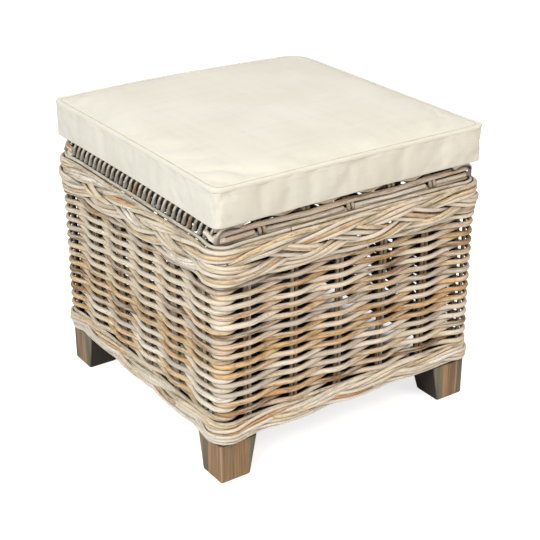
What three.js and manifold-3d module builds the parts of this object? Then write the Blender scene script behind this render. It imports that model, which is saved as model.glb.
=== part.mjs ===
// Outdoor ottoman footstool: a square stool woven from rattan cane on four tapered wooden legs,
// with a loose box cushion on its cane seat. Millimetres, +Z up, the front faces -Y, and the
// origin lies on the floor under the middle of the stool.

import * as THREE from "three";
import { mergeVertices } from "three/addons/utils/BufferGeometryUtils.js";
import Module from "manifold-3d";

const wasm = await Module();
wasm.setup();

// Driving dimensions shared by several pieces
const touchGap = 0.3; // between pieces that touch
const cutOverrun = 2; // how far a cutting shape runs past the face it cuts
const roundingError = 1e-9; // under it, a share or a rise counts as nothing
const cornerFacets = 1; // flats across each rounded corner of the stool
const quarterTurn = Math.PI / 2;
const cornerNames = ["front_left", "front_right", "back_right", "back_left"];
const halfNames = ["front_right", "back_left"];

// The woven wall
const wallHalf = 226.5; // from the middle to the outermost cane
const wallCornerRadius = 28;
const weaverDiameter = 7.1;
const weaverCount = 28;
const weaverRowGap = 0.36;
const weaverSides = 4;

// The upright stakes, which stand in pairs
const stakeDiameter = 6;
const stakePairGap = 1.2;
const stakePairCount = 22;
const stakeSides = 6;
const stakeTopGap = 2; // below the top of the wide plait

// The wooden legs
const legHeight = 62;
const legSetback = 2.5; // of a leg's outer faces from the outermost cane
const legTopWidth = 61;
const legFootWidth = 49;
const legEdgeChamfer = 1.5;
const legFootChamfer = 3;
const tenonDiameter = 16;
const tenonLength = 24;
const tenonSides = 12;

// The frame inside the weave
const postWidth = 34;
const postChamfer = 6;
const postWeaveGap = 1.2; // between a post and the innermost cane of the wall
const footRailHeight = 22;
const footRailJointShift = 22; // each half of the foot rail ends this far past a corner's diagonal
const endRailDiameter = 20;
const railSides = 12;
const endRailSetback = 4; // of an end rail's ends from the stakes

// The plaited bands at the foot of the wall and at its top. Each strand is a bundle of three canes.
const strandThickness = 5;
const strandGroove = 1.2; // depth of the grooves between a strand's canes
const strandSideShare = 0.85; // how far a strand's two side canes stand out, next to its middle cane
const footBandHeight = 34.4;
const footStrandCount = 3;
const footStrandShare = 0.37; // a strand's height in the band's
const footPeriods = 5;
const footStepsPerPeriod = 10;
const footSwing = 4; // in and out of the band
const footTilt = 2.5; // of a strand's edges, where it dives under another or comes up
const topBandHeight = 53.5;
const topStrandCount = 4;
const topStrandShare = 0.3;
const topPeriods = 4;
const topStepsPerPeriod = 12;
const topSwing = 4.6;
const topLean = 0.7; // how much further out the rising strands lie
const topTilt = 4;
const topFold = 2.5; // how far a strand's edges fold back from its middle

// The cane seat
const seatSetback = 4.5; // of the seat's edge from the outermost cane of the wall
const seatEdgeHeight = 30.3;
const seatWeaverDiameter = 8;
const seatPassCount = 25;
const seatFirstPassInset = 20; // of the first pass from the fold of the seat stakes
const seatStakeCount = 5;
const seatStakeShare = 0.332; // pitch of the seat stakes, in the seat's half width
const seatStakeBend = 4;
const edgePassGap = 0.5;

// The box cushion
const cushionOverhang = 2; // past the outermost cane of the wall
const cushionSeamHeight = 55; // from the bottom of the cushion to its top welt
const cushionCrown = 4.5; // how far the middle of the top stands over the welt
const cushionDrawIn = 3; // how far the middle of a side is pulled in
const crownSteps = [[0.14, 0.2], [0.36, 0.75], [0.64, 1]]; // way in to the middle, share of the crown
const cushionCornerRadius = 8;
const cushionSidePoints = 5;
const cushionCornerPoints = 3;
const weltHeight = 8;
const coverThickness = 9; // cloth and its wadding
const foamCornerRadius = 8;
const foamCornerPoints = 4;
const zipEndInset = 45; // of the zip's ends from the cushion's corners
const zipSlotHeight = 2;
const zipBandHeight = 12;
const zipBandDepth = 4.5;
const sliderLength = 9;
const sliderHeight = 8;
const sliderThickness = 3;
const sliderNeckDepth = 3;

// Worked out from the sizes above
const legOuterHalf = wallHalf - legSetback;
const seatHalf = wallHalf - seatSetback;
const seatStakePitch = seatStakeShare * seatHalf;
const cushionHalf = wallHalf + cushionOverhang;
const zipLength = 2 * (cushionHalf - zipEndInset);
const weaverRadius = weaverDiameter / 2;
const stakeRadius = stakeDiameter / 2;
const stakeOffset = (stakeDiameter + stakePairGap) / 2; // from a pair's middle to each of its canes
const stakeShoulder = stakeOffset + stakeRadius / 2; // where a slanting cane comes nearest to a pair
const seatWeaverRadius = seatWeaverDiameter / 2;
const endRailRadius = endRailDiameter / 2;

// How far a cane swings out of the stakes' plane, so that its slanting runs clear the pair that it
// passes. The slope is twice the swing over the pitch of the pairs.
function swingPast(caneRadius, pitch) {
  const level = stakeRadius + touchGap + caneRadius;
  return level / (1 - 2 * stakeShoulder / pitch);
}

const leastPairPitch = 8 * (wallHalf - wallCornerRadius) / stakePairCount;
const weaverSwing = swingPast(weaverRadius, leastPairPitch);
const wallReach = weaverSwing + weaverRadius; // from the stakes' plane to a cane's outside
const wallMiddle = wallHalf - wallReach;
const postOuterHalf = wallMiddle - wallReach - postWeaveGap;
const postMiddle = postOuterHalf - postWidth / 2;
const endRailHalf = wallMiddle - stakeRadius - endRailSetback;

const footBandBottom = legHeight + touchGap;
const footBandTop = footBandBottom + footBandHeight;
const weaverPitch = weaverDiameter + weaverRowGap;
const wallBottom = footBandTop + touchGap;
const wallTop = wallBottom + weaverCount * weaverPitch - weaverRowGap;
const topBandBottom = wallTop + touchGap;
const topBandTop = topBandBottom + topBandHeight;

const seatSwing = swingPast(seatWeaverRadius, seatStakePitch) + touchGap;
const seatEdgeBottom = topBandTop + touchGap;
const seatTop = seatEdgeBottom + seatEdgeHeight;
const seatStakeLevel = seatTop - seatWeaverRadius - seatSwing;
const endRailTop = seatStakeLevel - seatSwing - seatWeaverRadius - touchGap;
const endRailLevel = endRailTop - endRailRadius;
const sideRailTop = seatTop - seatWeaverDiameter - touchGap;
const sideRailRadius = (sideRailTop - endRailTop - touchGap) / 2;
const sideRailLevel = sideRailTop - sideRailRadius;
const sideRailX = seatHalf - seatWeaverDiameter - touchGap - sideRailRadius;
const seatFoldHalf = seatHalf - seatWeaverRadius - seatSwing; // where the seat stakes turn down
const seatPassPitch = 2 * (seatFoldHalf - seatFirstPassInset) / (seatPassCount - 1);
const endRailY = seatFoldHalf - seatSwing - seatWeaverRadius - touchGap - endRailRadius;
const sideRailHalf = endRailY + endRailRadius;
const postTop = endRailLevel - endRailRadius - touchGap;
const cushionBottom = seatTop + touchGap;
const cushionSeam = cushionBottom + cushionSeamHeight;

// Finishes
const finishes = {
  cane: { color: 0xb7a68d, roughness: 0.75, metalness: 0 },
  paleCane: { color: 0xc6b8a2, roughness: 0.75, metalness: 0 },
  stake: { color: 0xa08f76, roughness: 0.8, metalness: 0 },
  wood: { color: 0x7c6248, roughness: 0.7, metalness: 0 },
  cloth: { color: 0xe6dfcb, roughness: 0.95, metalness: 0 },
  foam: { color: 0xe9dfae, roughness: 1, metalness: 0 },
  zip: { color: 0x9a9a98, roughness: 0.35, metalness: 0.9 },
};

const stool = new THREE.Group();

function addPiece(name, geometry, finish) {
  const mesh = new THREE.Mesh(geometry, new THREE.MeshStandardMaterial(finishes[finish]));
  mesh.name = name;
  stool.add(mesh);
  return mesh;
}

// Two triangles between four corners, folded along the diagonal that lies deeper in the body
function foldedFace(points, [a, b, c, d]) {
  const across = points[c].clone().sub(points[a]);
  const other = points[d].clone().sub(points[b]);
  const outwards = across.clone().cross(other);
  const rise = points[b].clone().add(points[d]).sub(points[a]).sub(points[c]).dot(outwards);
  return rise > -roundingError ? [a, b, c, a, c, d] : [a, b, d, b, c, d];
}

// A closed body from a row of sections with equally many corners each. Seen against the way of
// travel, the corners run anticlockwise. A closed row joins its last section to its first, and an
// open one gets a flat end at each end.
function stitch(sections, closed) {
  const corners = sections[0].length;
  const points = sections.flat();
  const positions = points.flatMap((point) => [point.x, point.y, point.z]);
  const faces = [];
  const spans = closed ? sections.length : sections.length - 1;
  for (let span = 0; span < spans; span += 1) {
    const here = span * corners;
    const there = ((span + 1) % sections.length) * corners;
    for (let corner = 0; corner < corners; corner += 1) {
      const next = (corner + 1) % corners;
      const face = [here + corner, there + corner, there + next, here + next];
      faces.push(...foldedFace(points, face));
    }
  }
  if (!closed) {
    const last = (sections.length - 1) * corners;
    for (let corner = 1; corner < corners - 1; corner += 1) {
      faces.push(0, corner, corner + 1);
      faces.push(last, last + corner + 1, last + corner);
    }
  }
  const geometry = new THREE.BufferGeometry();
  geometry.setAttribute("position", new THREE.Float32BufferAttribute(positions, 3));
  geometry.setIndex(faces);
  return geometry;
}

// The corners of a round section, as pairs of outward and upward distances
function roundSection(sides, radius) {
  return Array.from({ length: sides }, (_, side) => {
    const angle = side * 2 * Math.PI / sides;
    return [radius * Math.cos(angle), radius * Math.sin(angle)];
  });
}

// A cane along a line of straight runs, mitred at every bend so that it keeps its thickness
function caneAlong(points, radius, sides, reference) {
  const runs = points.slice(1).map((point, index) => point.clone().sub(points[index]).normalize());
  const across = runs[0].clone().cross(reference).normalize();
  const up = across.clone().cross(runs[0]);
  let section = roundSection(sides, radius).map(([outward, upward]) =>
    points[0].clone().addScaledVector(across, outward).addScaledVector(up, upward));
  const sections = [section];
  for (let index = 1; index < points.length; index += 1) {
    const run = runs[index - 1];
    const mitre = run.clone().add(runs[index] ?? run).normalize();
    section = section.map((corner) => {
      const reach = points[index].clone().sub(corner).dot(mitre) / run.dot(mitre);
      return corner.clone().addScaledVector(run, reach);
    });
    sections.push(section);
  }
  return stitch(sections, false);
}

// A body that rises through outlines, each anticlockwise seen from above
function risingBody(levels) {
  const sections = levels.map(({ height, outline }) =>
    outline.map(([x, y]) => new THREE.Vector3(x, y, height)).reverse());
  return stitch(sections, false);
}

function toSolid(geometry) {
  const bare = geometry.clone();
  bare.deleteAttribute("normal");
  bare.deleteAttribute("uv");
  const merged = mergeVertices(bare);
  return new wasm.Manifold(new wasm.Mesh({
    numProp: 3,
    vertProperties: new Float32Array(merged.attributes.position.array),
    triVerts: new Uint32Array(merged.index.array),
  }));
}

function toGeometry(solid) {
  const mesh = solid.getMesh();
  const geometry = new THREE.BufferGeometry();
  geometry.setAttribute("position", new THREE.BufferAttribute(mesh.vertProperties, mesh.numProp));
  geometry.setIndex(new THREE.BufferAttribute(mesh.triVerts, 1));
  return geometry;
}

// The line round the stool that the stakes stand on: a square with cut corners. Distances run
// anticlockwise seen from above, from the middle of the front left corner, and the front comes
// first. A point can lie outside the line by an outward distance.
function ringLine(half, radius) {
  const turn = quarterTurn / (cornerFacets + 1);
  const stretch = 1 / Math.cos(turn / 2);
  const facetLength = 2 * radius * Math.tan(turn / 2);
  const centreHalf = half - radius;
  const corners = [];
  for (let corner = 0; corner < 4; corner += 1) {
    const centre = new THREE.Vector2(-centreHalf, -centreHalf);
    centre.rotateAround(new THREE.Vector2(), corner * quarterTurn);
    for (let step = 0; step <= cornerFacets; step += 1) {
      corners.push({ centre, angle: Math.PI + corner * quarterTurn + (step + 0.5) * turn });
    }
  }
  const reach = (corner, outward) => {
    const away = new THREE.Vector2(Math.cos(corner.angle), Math.sin(corner.angle));
    return corner.centre.clone().addScaledVector(away, (radius + outward) * stretch);
  };
  let travelled = -cornerFacets * facetLength / 2;
  corners.forEach((corner, index) => {
    corner.start = travelled;
    travelled += reach(corner, 0).distanceTo(reach(corners[(index + 1) % corners.length], 0));
  });
  const length = travelled - corners[0].start;
  const point = (distance, outward, height) => {
    const along = THREE.MathUtils.euclideanModulo(distance - corners[0].start, length);
    const index = corners.findLastIndex((corner) => corner.start - corners[0].start <= along);
    const from = reach(corners[index], outward);
    const to = reach(corners[(index + 1) % corners.length], outward);
    const plain = reach(corners[index], 0);
    const plainTo = reach(corners[(index + 1) % corners.length], 0);
    const passed = along - (corners[index].start - corners[0].start);
    const share = passed / plain.distanceTo(plainTo);
    const isCorner = share < roundingError;
    const place = isCorner ? from : plain.clone().lerp(plainTo, share);
    if (!isCorner) {
      const away = to.clone().sub(from).normalize();
      place.add(new THREE.Vector2(away.y, -away.x).multiplyScalar(outward));
    }
    return new THREE.Vector3(place.x, place.y, height);
  };
  const breaks = corners.map((corner) => THREE.MathUtils.euclideanModulo(corner.start, length));
  return { length, point, breaks };
}

const wallLine = ringLine(wallMiddle, wallCornerRadius - wallReach);
const pairPitch = wallLine.length / stakePairCount;
const pairDistances = Array.from({ length: stakePairCount }, (_, pair) => (pair + 0.5) * pairPitch);

// Distances in order round the ring, with those that fall together kept once
function inOrder(distances) {
  const sorted = [...distances].sort((one, other) => one - other);
  return sorted.filter((distance, index) => index === 0 || distance - sorted[index - 1] > touchGap);
}

// A closed ring whose section at each distance is a list of outward and upward places
function ringBody(distances, sectionAt) {
  const sections = distances.map((distance) =>
    sectionAt(distance).map(([outward, height]) => wallLine.point(distance, outward, height)));
  return stitch(sections, true);
}

// One row of the wall: a cane that passes outside and inside the pairs of stakes in turn
function weaverRow(row) {
  const height = wallBottom + weaverRadius + row * weaverPitch;
  const swingAt = (distance) => {
    const pairs = distance / pairPitch - 0.5;
    const fold = Math.abs(THREE.MathUtils.euclideanModulo(pairs + row, 2) - 1);
    return weaverSwing * (2 * fold - 1);
  };
  return ringBody(inOrder([...pairDistances, ...wallLine.breaks]), (distance) =>
    roundSection(weaverSides, weaverRadius).map(([outward, upward]) =>
      [swingAt(distance) + outward, height + upward]));
}

// The corners of a strand's section: how far each stands out, and its height as a share of the
// strand's half height. Three ridges face outwards and one edge faces the stakes.
function strandProfile() {
  const ridge = strandThickness / 2;
  const sideRidge = strandSideShare * ridge;
  const groove = sideRidge - strandGroove;
  return [
    [0, -1], [sideRidge, -2 / 3], [groove, -1 / 3], [ridge, 0],
    [groove, 1 / 3], [sideRidge, 2 / 3], [0, 1], [-ridge, 0],
  ];
}

// A strand that goes round the wall in even steps of its period. At each phase its middle has a
// depth, its edges tilt one out and one in, and both fold back. Between two steps it runs straight.
function bandStrand({ bottom, bandHeight, strandHeight, swing, periods, steps, share, bendAt }) {
  const half = strandHeight / 2;
  const sway = bandHeight / 2 - half;
  const middle = bottom + bandHeight / 2;
  const stepLength = wallLine.length / (periods * steps);
  const sectionAt = (step) => {
    const phase = 2 * Math.PI * (step / steps + share);
    const { depth, tilt, fold } = bendAt(phase);
    const base = stakeRadius + touchGap + strandThickness / 2 + swing + depth;
    return strandProfile().map(([outward, upward]) => new THREE.Vector2(
      base + outward + tilt * upward - fold * upward * upward,
      middle + sway * Math.sin(phase) + half * upward,
    ));
  };
  const regular = Array.from({ length: periods * steps }, (_, step) => step * stepLength);
  return ringBody(inOrder([...regular, ...wallLine.breaks]), (distance) => {
    const step = Math.floor(distance / stepLength + roundingError);
    const next = sectionAt(step + 1);
    const passed = distance / stepLength - step;
    return sectionAt(step).map((corner, index) => corner.lerp(next[index], passed).toArray());
  });
}

// One of the top plait's four strands. It rises over one strand, dives under the next, falls over
// the third and dives again, so that the middle of the plait shows falling strands between rising ones.
function topStrand(strand) {
  return bandStrand({
    bottom: topBandBottom,
    bandHeight: topBandHeight,
    strandHeight: topStrandShare * topBandHeight,
    swing: topSwing + topLean / 2,
    periods: topPeriods,
    steps: topStepsPerPeriod,
    share: strand / topStrandCount,
    bendAt: (phase) => ({
      depth: topLean * Math.cos(phase) - topSwing * Math.cos(3 * phase),
      tilt: topTilt * Math.sin(4 * phase),
      fold: -topFold * Math.cos(3 * phase),
    }),
  });
}

// One of the foot band's three strands, plaited so that rising strands show above falling ones
function footStrand(strand) {
  return bandStrand({
    bottom: footBandBottom,
    bandHeight: footBandHeight,
    strandHeight: footStrandShare * footBandHeight,
    swing: footSwing,
    periods: footPeriods,
    steps: footStepsPerPeriod,
    share: strand / footStrandCount,
    bendAt: (phase) => ({
      depth: footSwing * Math.sin(2 * phase),
      tilt: footTilt * Math.cos(3 * phase),
      fold: 0,
    }),
  });
}

// Half of the foot rail, bent round two corners, with the stakes that stand in it
function stakeFrame(half) {
  const halfLength = wallLine.length / 2;
  const start = half * halfLength + footRailJointShift;
  const end = start + halfLength - touchGap;
  const inner = -(wallMiddle - postOuterHalf - touchGap);
  const outer = stakeRadius / 2;
  const railTop = footBandBottom + footRailHeight;
  const section = [[inner, footBandBottom], [outer, footBandBottom], [outer, railTop], [inner, railTop]];
  const within = (distance) => distance > start && distance < end;
  const breaks = [...wallLine.breaks, ...wallLine.breaks.map((place) => place + wallLine.length)];
  const stops = [start, ...inOrder(breaks.filter(within)), end];
  const rail = stitch(stops.map((distance) =>
    section.map(([outward, height]) => wallLine.point(distance, outward, height))), false);
  let solid = toSolid(rail);
  const footLevel = footBandBottom + footRailHeight / 2;
  const stakeLength = topBandTop - stakeTopGap - footLevel;
  const places = [...pairDistances, ...pairDistances.map((place) => place + wallLine.length)];
  for (const distance of places.filter(within)) {
    for (const offset of [-stakeOffset, stakeOffset]) {
      const stake = new THREE.CylinderGeometry(stakeRadius, stakeRadius, stakeLength, stakeSides);
      stake.rotateX(quarterTurn);
      const foot = wallLine.point(distance + offset, 0, footLevel + stakeLength / 2);
      stake.translate(foot.x, foot.y, foot.z);
      solid = solid.add(toSolid(stake));
    }
  }
  return toGeometry(solid);
}

// A square outline with cut corners, from one corner of a square to its opposite
function cutSquare(low, high, cut) {
  return [
    [low + cut, low], [high - cut, low], [high, low + cut], [high, high - cut],
    [high - cut, high], [low + cut, high], [low, high - cut], [low, low + cut],
  ];
}

// A leg: upright outer faces, inner faces that lean towards the foot, and a round tenon on top
function leg() {
  const shrink = (legTopWidth - legFootWidth) / legHeight;
  const innerAt = (height) => legOuterHalf - legFootWidth - shrink * height;
  const body = risingBody([
    { height: 0, outline: cutSquare(innerAt(0) + legFootChamfer, legOuterHalf - legEdgeChamfer,
      legEdgeChamfer) },
    { height: legFootChamfer, outline: cutSquare(innerAt(legFootChamfer), legOuterHalf,
      legEdgeChamfer) },
    { height: legHeight, outline: cutSquare(innerAt(legHeight), legOuterHalf, legEdgeChamfer) },
  ]);
  const radius = tenonDiameter / 2;
  const tenon = new THREE.CylinderGeometry(radius, radius, tenonLength + cutOverrun, tenonSides);
  tenon.rotateX(quarterTurn);
  tenon.translate(postMiddle, postMiddle, legHeight + (tenonLength - cutOverrun) / 2);
  return toGeometry(toSolid(body).add(toSolid(tenon)));
}

// A corner post, bored from below for the leg's tenon and cut back where the wall turns the corner
function cornerPost() {
  const inner = postOuterHalf - postWidth;
  const outline = new THREE.Shape([
    new THREE.Vector2(inner, inner),
    new THREE.Vector2(postOuterHalf, inner),
    new THREE.Vector2(postOuterHalf, postOuterHalf - postChamfer),
    new THREE.Vector2(postOuterHalf - postChamfer, postOuterHalf),
    new THREE.Vector2(inner, postOuterHalf),
  ]);
  const bottom = legHeight + touchGap;
  const post = new THREE.ExtrudeGeometry(outline, { depth: postTop - bottom, bevelEnabled: false });
  post.translate(0, 0, bottom);
  const radius = tenonDiameter / 2 + touchGap;
  const depth = tenonLength + touchGap;
  const bore = new THREE.CylinderGeometry(radius, radius, depth + cutOverrun, tenonSides);
  bore.rotateX(quarterTurn);
  bore.translate(postMiddle, postMiddle, legHeight + (depth - cutOverrun) / 2);
  return toGeometry(toSolid(post).subtract(toSolid(bore)));
}

function railPole(radius, half) {
  return new THREE.CylinderGeometry(radius, radius, 2 * half, railSides);
}

const seatStakePlaces = Array.from({ length: seatStakeCount }, (_, stake) =>
  (stake - (seatStakeCount - 1) / 2) * seatStakePitch);

// The seat's long cane: it runs back and forth over the side rails, over and under the seat stakes
// in turn, and turns back on the outside of each rail
function seatWeaver() {
  const wrap = sideRailRadius + touchGap + seatWeaverRadius;
  const facet = wrap * Math.tan(quarterTurn / 4);
  const turnLevel = seatEdgeBottom + seatWeaverRadius;
  const points = [];
  for (let pass = 0; pass < seatPassCount; pass += 1) {
    const y = (pass - (seatPassCount - 1) / 2) * seatPassPitch;
    const heading = pass % 2 === 0 ? 1 : -1;
    const rise = [
      [-sideRailX - wrap, turnLevel], [-sideRailX - wrap, sideRailLevel + facet],
      [-sideRailX - facet, sideRailLevel + wrap], [-sideRailX + facet, sideRailLevel + wrap],
    ];
    const woven = seatStakePlaces.map((x, stake) =>
      [x, seatStakeLevel + ((stake + pass) % 2 === 0 ? seatSwing : -seatSwing)]);
    const fall = [...rise].reverse().map(([x, z]) => [-x, z]);
    for (const [x, z] of [...rise, ...woven, ...fall]) {
      points.push(new THREE.Vector3(heading * x, y, z));
    }
  }
  return caneAlong(points, seatWeaverRadius, weaverSides, new THREE.Vector3(0, 1, 0));
}

// A double seat stake: one cane bent back on itself at the front, and turned down over both ends
function seatStake(x) {
  const low = seatEdgeBottom + stakeRadius;
  const fold = (side, y) => [
    [x + side * stakeOffset, y, low],
    [x + side * stakeOffset, y, seatStakeLevel - seatStakeBend],
    [x + side * stakeOffset, y - Math.sign(y) * seatStakeBend, seatStakeLevel],
  ];
  const places = [
    ...fold(-1, seatFoldHalf), ...fold(-1, -seatFoldHalf).reverse(),
    ...fold(1, -seatFoldHalf), ...fold(1, seatFoldHalf).reverse(),
  ];
  const points = places.map((place) => new THREE.Vector3(...place));
  return caneAlong(points, stakeRadius, stakeSides, new THREE.Vector3(1, 0, 0));
}

// The cane woven along a seat edge: a low pass and a high pass, joined by a turn at one corner
function seatEdgeWeaver() {
  const end = seatHalf - seatWeaverRadius;
  const low = seatEdgeBottom + seatWeaverRadius;
  const high = low + seatWeaverDiameter + edgePassGap;
  const tucked = seatStakeLevel - seatSwing;
  const lowPass = seatStakePlaces.map((x, stake) =>
    [x, stake % 2 === 0 ? -seatSwing : seatSwing, low]);
  const highPass = seatStakePlaces.flatMap((x, stake) => {
    const crossing = stake % 2 === 0 ? [x, seatSwing, high] : [x, -seatSwing, tucked];
    return [crossing, [x + seatStakePitch / 2, 0, high]];
  });
  const places = [
    [end, 0, low], ...[...lowPass].reverse(), [-end, 0, low],
    [-end, 0, high], [seatStakePlaces[0] - seatStakePitch / 2, 0, high], ...highPass, [end, 0, high],
  ];
  const points = places.map(([x, outward, z]) => new THREE.Vector3(x, -seatFoldHalf - outward, z));
  return caneAlong(points, seatWeaverRadius, weaverSides, new THREE.Vector3(0, 0, 1));
}

// The cushion's outline at an inset from its full size: rounded corners, and sides that pull in
function cushionOutline(inset) {
  const half = cushionHalf - inset;
  const radius = cushionCornerRadius;
  const outline = [];
  for (let side = 0; side < 4; side += 1) {
    const turn = side * quarterTurn;
    for (let step = 0; step < cushionCornerPoints; step += 1) {
      const angle = Math.PI + quarterTurn * step / (cushionCornerPoints - 1);
      const x = -half + radius + radius * Math.cos(angle);
      const y = -half + radius + radius * Math.sin(angle);
      outline.push(new THREE.Vector2(x, y).rotateAround(new THREE.Vector2(), turn));
    }
    for (let step = 1; step <= cushionSidePoints; step += 1) {
      const share = 2 * step / (cushionSidePoints + 1) - 1;
      const x = share * (half - radius);
      const y = -half + cushionDrawIn * (1 - share * share);
      outline.push(new THREE.Vector2(x, y).rotateAround(new THREE.Vector2(), turn));
    }
  }
  return outline.map((point) => [point.x, point.y]);
}

// The foam core, grown by a clearance where it shapes the room inside the cover
function foamCore(clearance) {
  const half = cushionHalf - coverThickness - cushionDrawIn + clearance;
  const radius = foamCornerRadius;
  const outline = [];
  for (let corner = 0; corner < 4; corner += 1) {
    for (let step = 0; step < foamCornerPoints; step += 1) {
      const angle = Math.PI + quarterTurn * step / (foamCornerPoints - 1);
      const x = -half + radius + radius * Math.cos(angle);
      const y = -half + radius + radius * Math.sin(angle);
      const place = new THREE.Vector2(x, y).rotateAround(new THREE.Vector2(), corner * quarterTurn);
      outline.push([place.x, place.y]);
    }
  }
  return risingBody([
    { height: cushionBottom + coverThickness - clearance, outline },
    { height: cushionSeam - coverThickness + clearance, outline },
  ]);
}

function blockBetween(low, high) {
  const block = new THREE.BoxGeometry(high[0] - low[0], high[1] - low[1], high[2] - low[2]);
  block.translate((low[0] + high[0]) / 2, (low[1] + high[1]) / 2, (low[2] + high[2]) / 2);
  return block;
}

const zipLevel = cushionBottom + cushionSeamHeight / 2;
const zipFloor = cushionHalf - zipBandDepth; // the flat that the zip lies on, at the back

// The cover: a crowned top inside its welt, straight boxing that pulls in, and the zip's long slit
function cushionCover() {
  const weltHalf = weltHeight / 2;
  const levels = [
    { inset: weltHeight, height: cushionBottom },
    { inset: weltHalf / 2, height: cushionBottom + weltHalf / 2 },
    { inset: weltHalf / 2, height: cushionBottom + weltHeight },
    { inset: 0, height: zipLevel },
    { inset: weltHalf / 2, height: cushionSeam - weltHeight },
    { inset: 0, height: cushionSeam - weltHalf },
    { inset: weltHalf / 2, height: cushionSeam },
    { inset: weltHeight, height: cushionSeam - weltHalf / 2 },
    ...crownSteps.map(([inward, rise]) => (
      { inset: inward * cushionHalf, height: cushionSeam + rise * cushionCrown })),
  ];
  const body = risingBody(levels.map(({ inset, height }) => (
    { height, outline: cushionOutline(inset) })));
  const zipHalf = zipLength / 2;
  const bandHalf = zipBandHeight / 2;
  const slotHalf = zipSlotHeight / 2;
  const room = cushionHalf - coverThickness - cushionDrawIn;
  const band = blockBetween([-zipHalf, zipFloor, zipLevel - bandHalf],
    [zipHalf, cushionHalf + cutOverrun, zipLevel + bandHalf]);
  const slot = blockBetween([-zipHalf, room - cutOverrun, zipLevel - slotHalf],
    [zipHalf, cushionHalf, zipLevel + slotHalf]);
  return toGeometry(toSolid(body).subtract(toSolid(foamCore(touchGap)))
    .subtract(toSolid(band)).subtract(toSolid(slot)));
}

// The zip's slider: a plate on the zip with a neck in the slit
function zipSlider() {
  const closedX = zipLength / 2 - touchGap - sliderLength;
  const plateHalf = sliderHeight / 2;
  const neckHalf = zipSlotHeight / 2 - touchGap;
  const plateBack = zipFloor + touchGap;
  const plate = blockBetween([closedX, plateBack, zipLevel - plateHalf],
    [closedX + sliderLength, plateBack + sliderThickness, zipLevel + plateHalf]);
  const neck = blockBetween([closedX + sliderLength / 4, plateBack - sliderNeckDepth, zipLevel - neckHalf],
    [closedX + 3 * sliderLength / 4, plateBack + sliderThickness / 2, zipLevel + neckHalf]);
  return toGeometry(toSolid(plate).add(toSolid(neck)));
}

// Legs and corner posts, turned from the back right corner to each corner
const legShape = leg();
const postShape = cornerPost();
cornerNames.forEach((name, corner) => {
  addPiece(`leg_${name}`, legShape, "wood").rotation.z = (corner + 2) * quarterTurn;
  addPiece(`corner_post_${name}`, postShape, "wood").rotation.z = (corner + 2) * quarterTurn;
});

halfNames.forEach((name, half) => addPiece(`stake_frame_${name}`, stakeFrame(half), "stake"));

for (let row = 0; row < weaverCount; row += 1) {
  addPiece(`weaver_row_${String(row + 1).padStart(2, "0")}`, weaverRow(row), row % 3 ? "cane" : "paleCane");
}

for (let strand = 0; strand < footStrandCount; strand += 1) {
  addPiece(`foot_band_strand_${strand + 1}`, footStrand(strand), "paleCane");
}
for (let strand = 0; strand < topStrandCount; strand += 1) {
  addPiece(`top_plait_strand_${strand + 1}`, topStrand(strand), "paleCane");
}

// Seat rails: the end rails lie on the posts, and the side rails lie across the end rails
for (const [name, side] of [["front", -1], ["back", 1]]) {
  const rail = addPiece(`end_rail_${name}`, railPole(endRailRadius, endRailHalf), "wood");
  rail.rotation.z = quarterTurn;
  rail.position.set(0, side * endRailY, endRailLevel);
}
for (const [name, side] of [["left", -1], ["right", 1]]) {
  const rail = addPiece(`side_rail_${name}`, railPole(sideRailRadius, sideRailHalf), "wood");
  rail.position.set(side * sideRailX, 0, sideRailLevel);
}

addPiece("seat_weaver", seatWeaver(), "cane");
seatStakePlaces.forEach((x, stake) => addPiece(`seat_stake_${stake + 1}`, seatStake(x), "stake"));
const edgeShape = seatEdgeWeaver();
addPiece("seat_edge_weaver_front", edgeShape, "cane");
addPiece("seat_edge_weaver_back", edgeShape, "cane").rotation.z = Math.PI;

addPiece("cushion_cover", cushionCover(), "cloth");
addPiece("cushion_foam", foamCore(0), "foam");
addPiece("zip_slider", zipSlider(), "zip");

export default stool;
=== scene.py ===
# A woven cane footstool with a loose box cushion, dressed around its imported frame.
# The shapes are worked out in millimetres and become metres in the mesh.
import math

import bpy
import numpy as np
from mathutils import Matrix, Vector


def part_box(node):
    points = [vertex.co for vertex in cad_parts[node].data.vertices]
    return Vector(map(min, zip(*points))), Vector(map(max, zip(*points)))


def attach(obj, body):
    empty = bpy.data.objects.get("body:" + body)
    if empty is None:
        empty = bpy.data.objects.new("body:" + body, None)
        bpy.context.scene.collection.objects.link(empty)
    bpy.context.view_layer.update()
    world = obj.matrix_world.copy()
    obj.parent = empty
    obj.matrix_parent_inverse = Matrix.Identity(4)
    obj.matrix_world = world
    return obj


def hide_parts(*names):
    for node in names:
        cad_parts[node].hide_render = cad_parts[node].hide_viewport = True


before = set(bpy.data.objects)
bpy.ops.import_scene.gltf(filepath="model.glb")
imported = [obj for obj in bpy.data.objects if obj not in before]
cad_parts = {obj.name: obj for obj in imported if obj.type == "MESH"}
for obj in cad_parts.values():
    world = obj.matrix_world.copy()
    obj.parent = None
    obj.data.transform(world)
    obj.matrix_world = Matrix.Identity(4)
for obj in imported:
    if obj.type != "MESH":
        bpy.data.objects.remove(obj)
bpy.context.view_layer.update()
metre = 0.001  # one millimetre of the shapes below
up = np.array([0.0, 0.0, 1.0])
rng = np.random.default_rng(7204)
corners = ["front_left", "front_right", "back_right", "back_left"]


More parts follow.
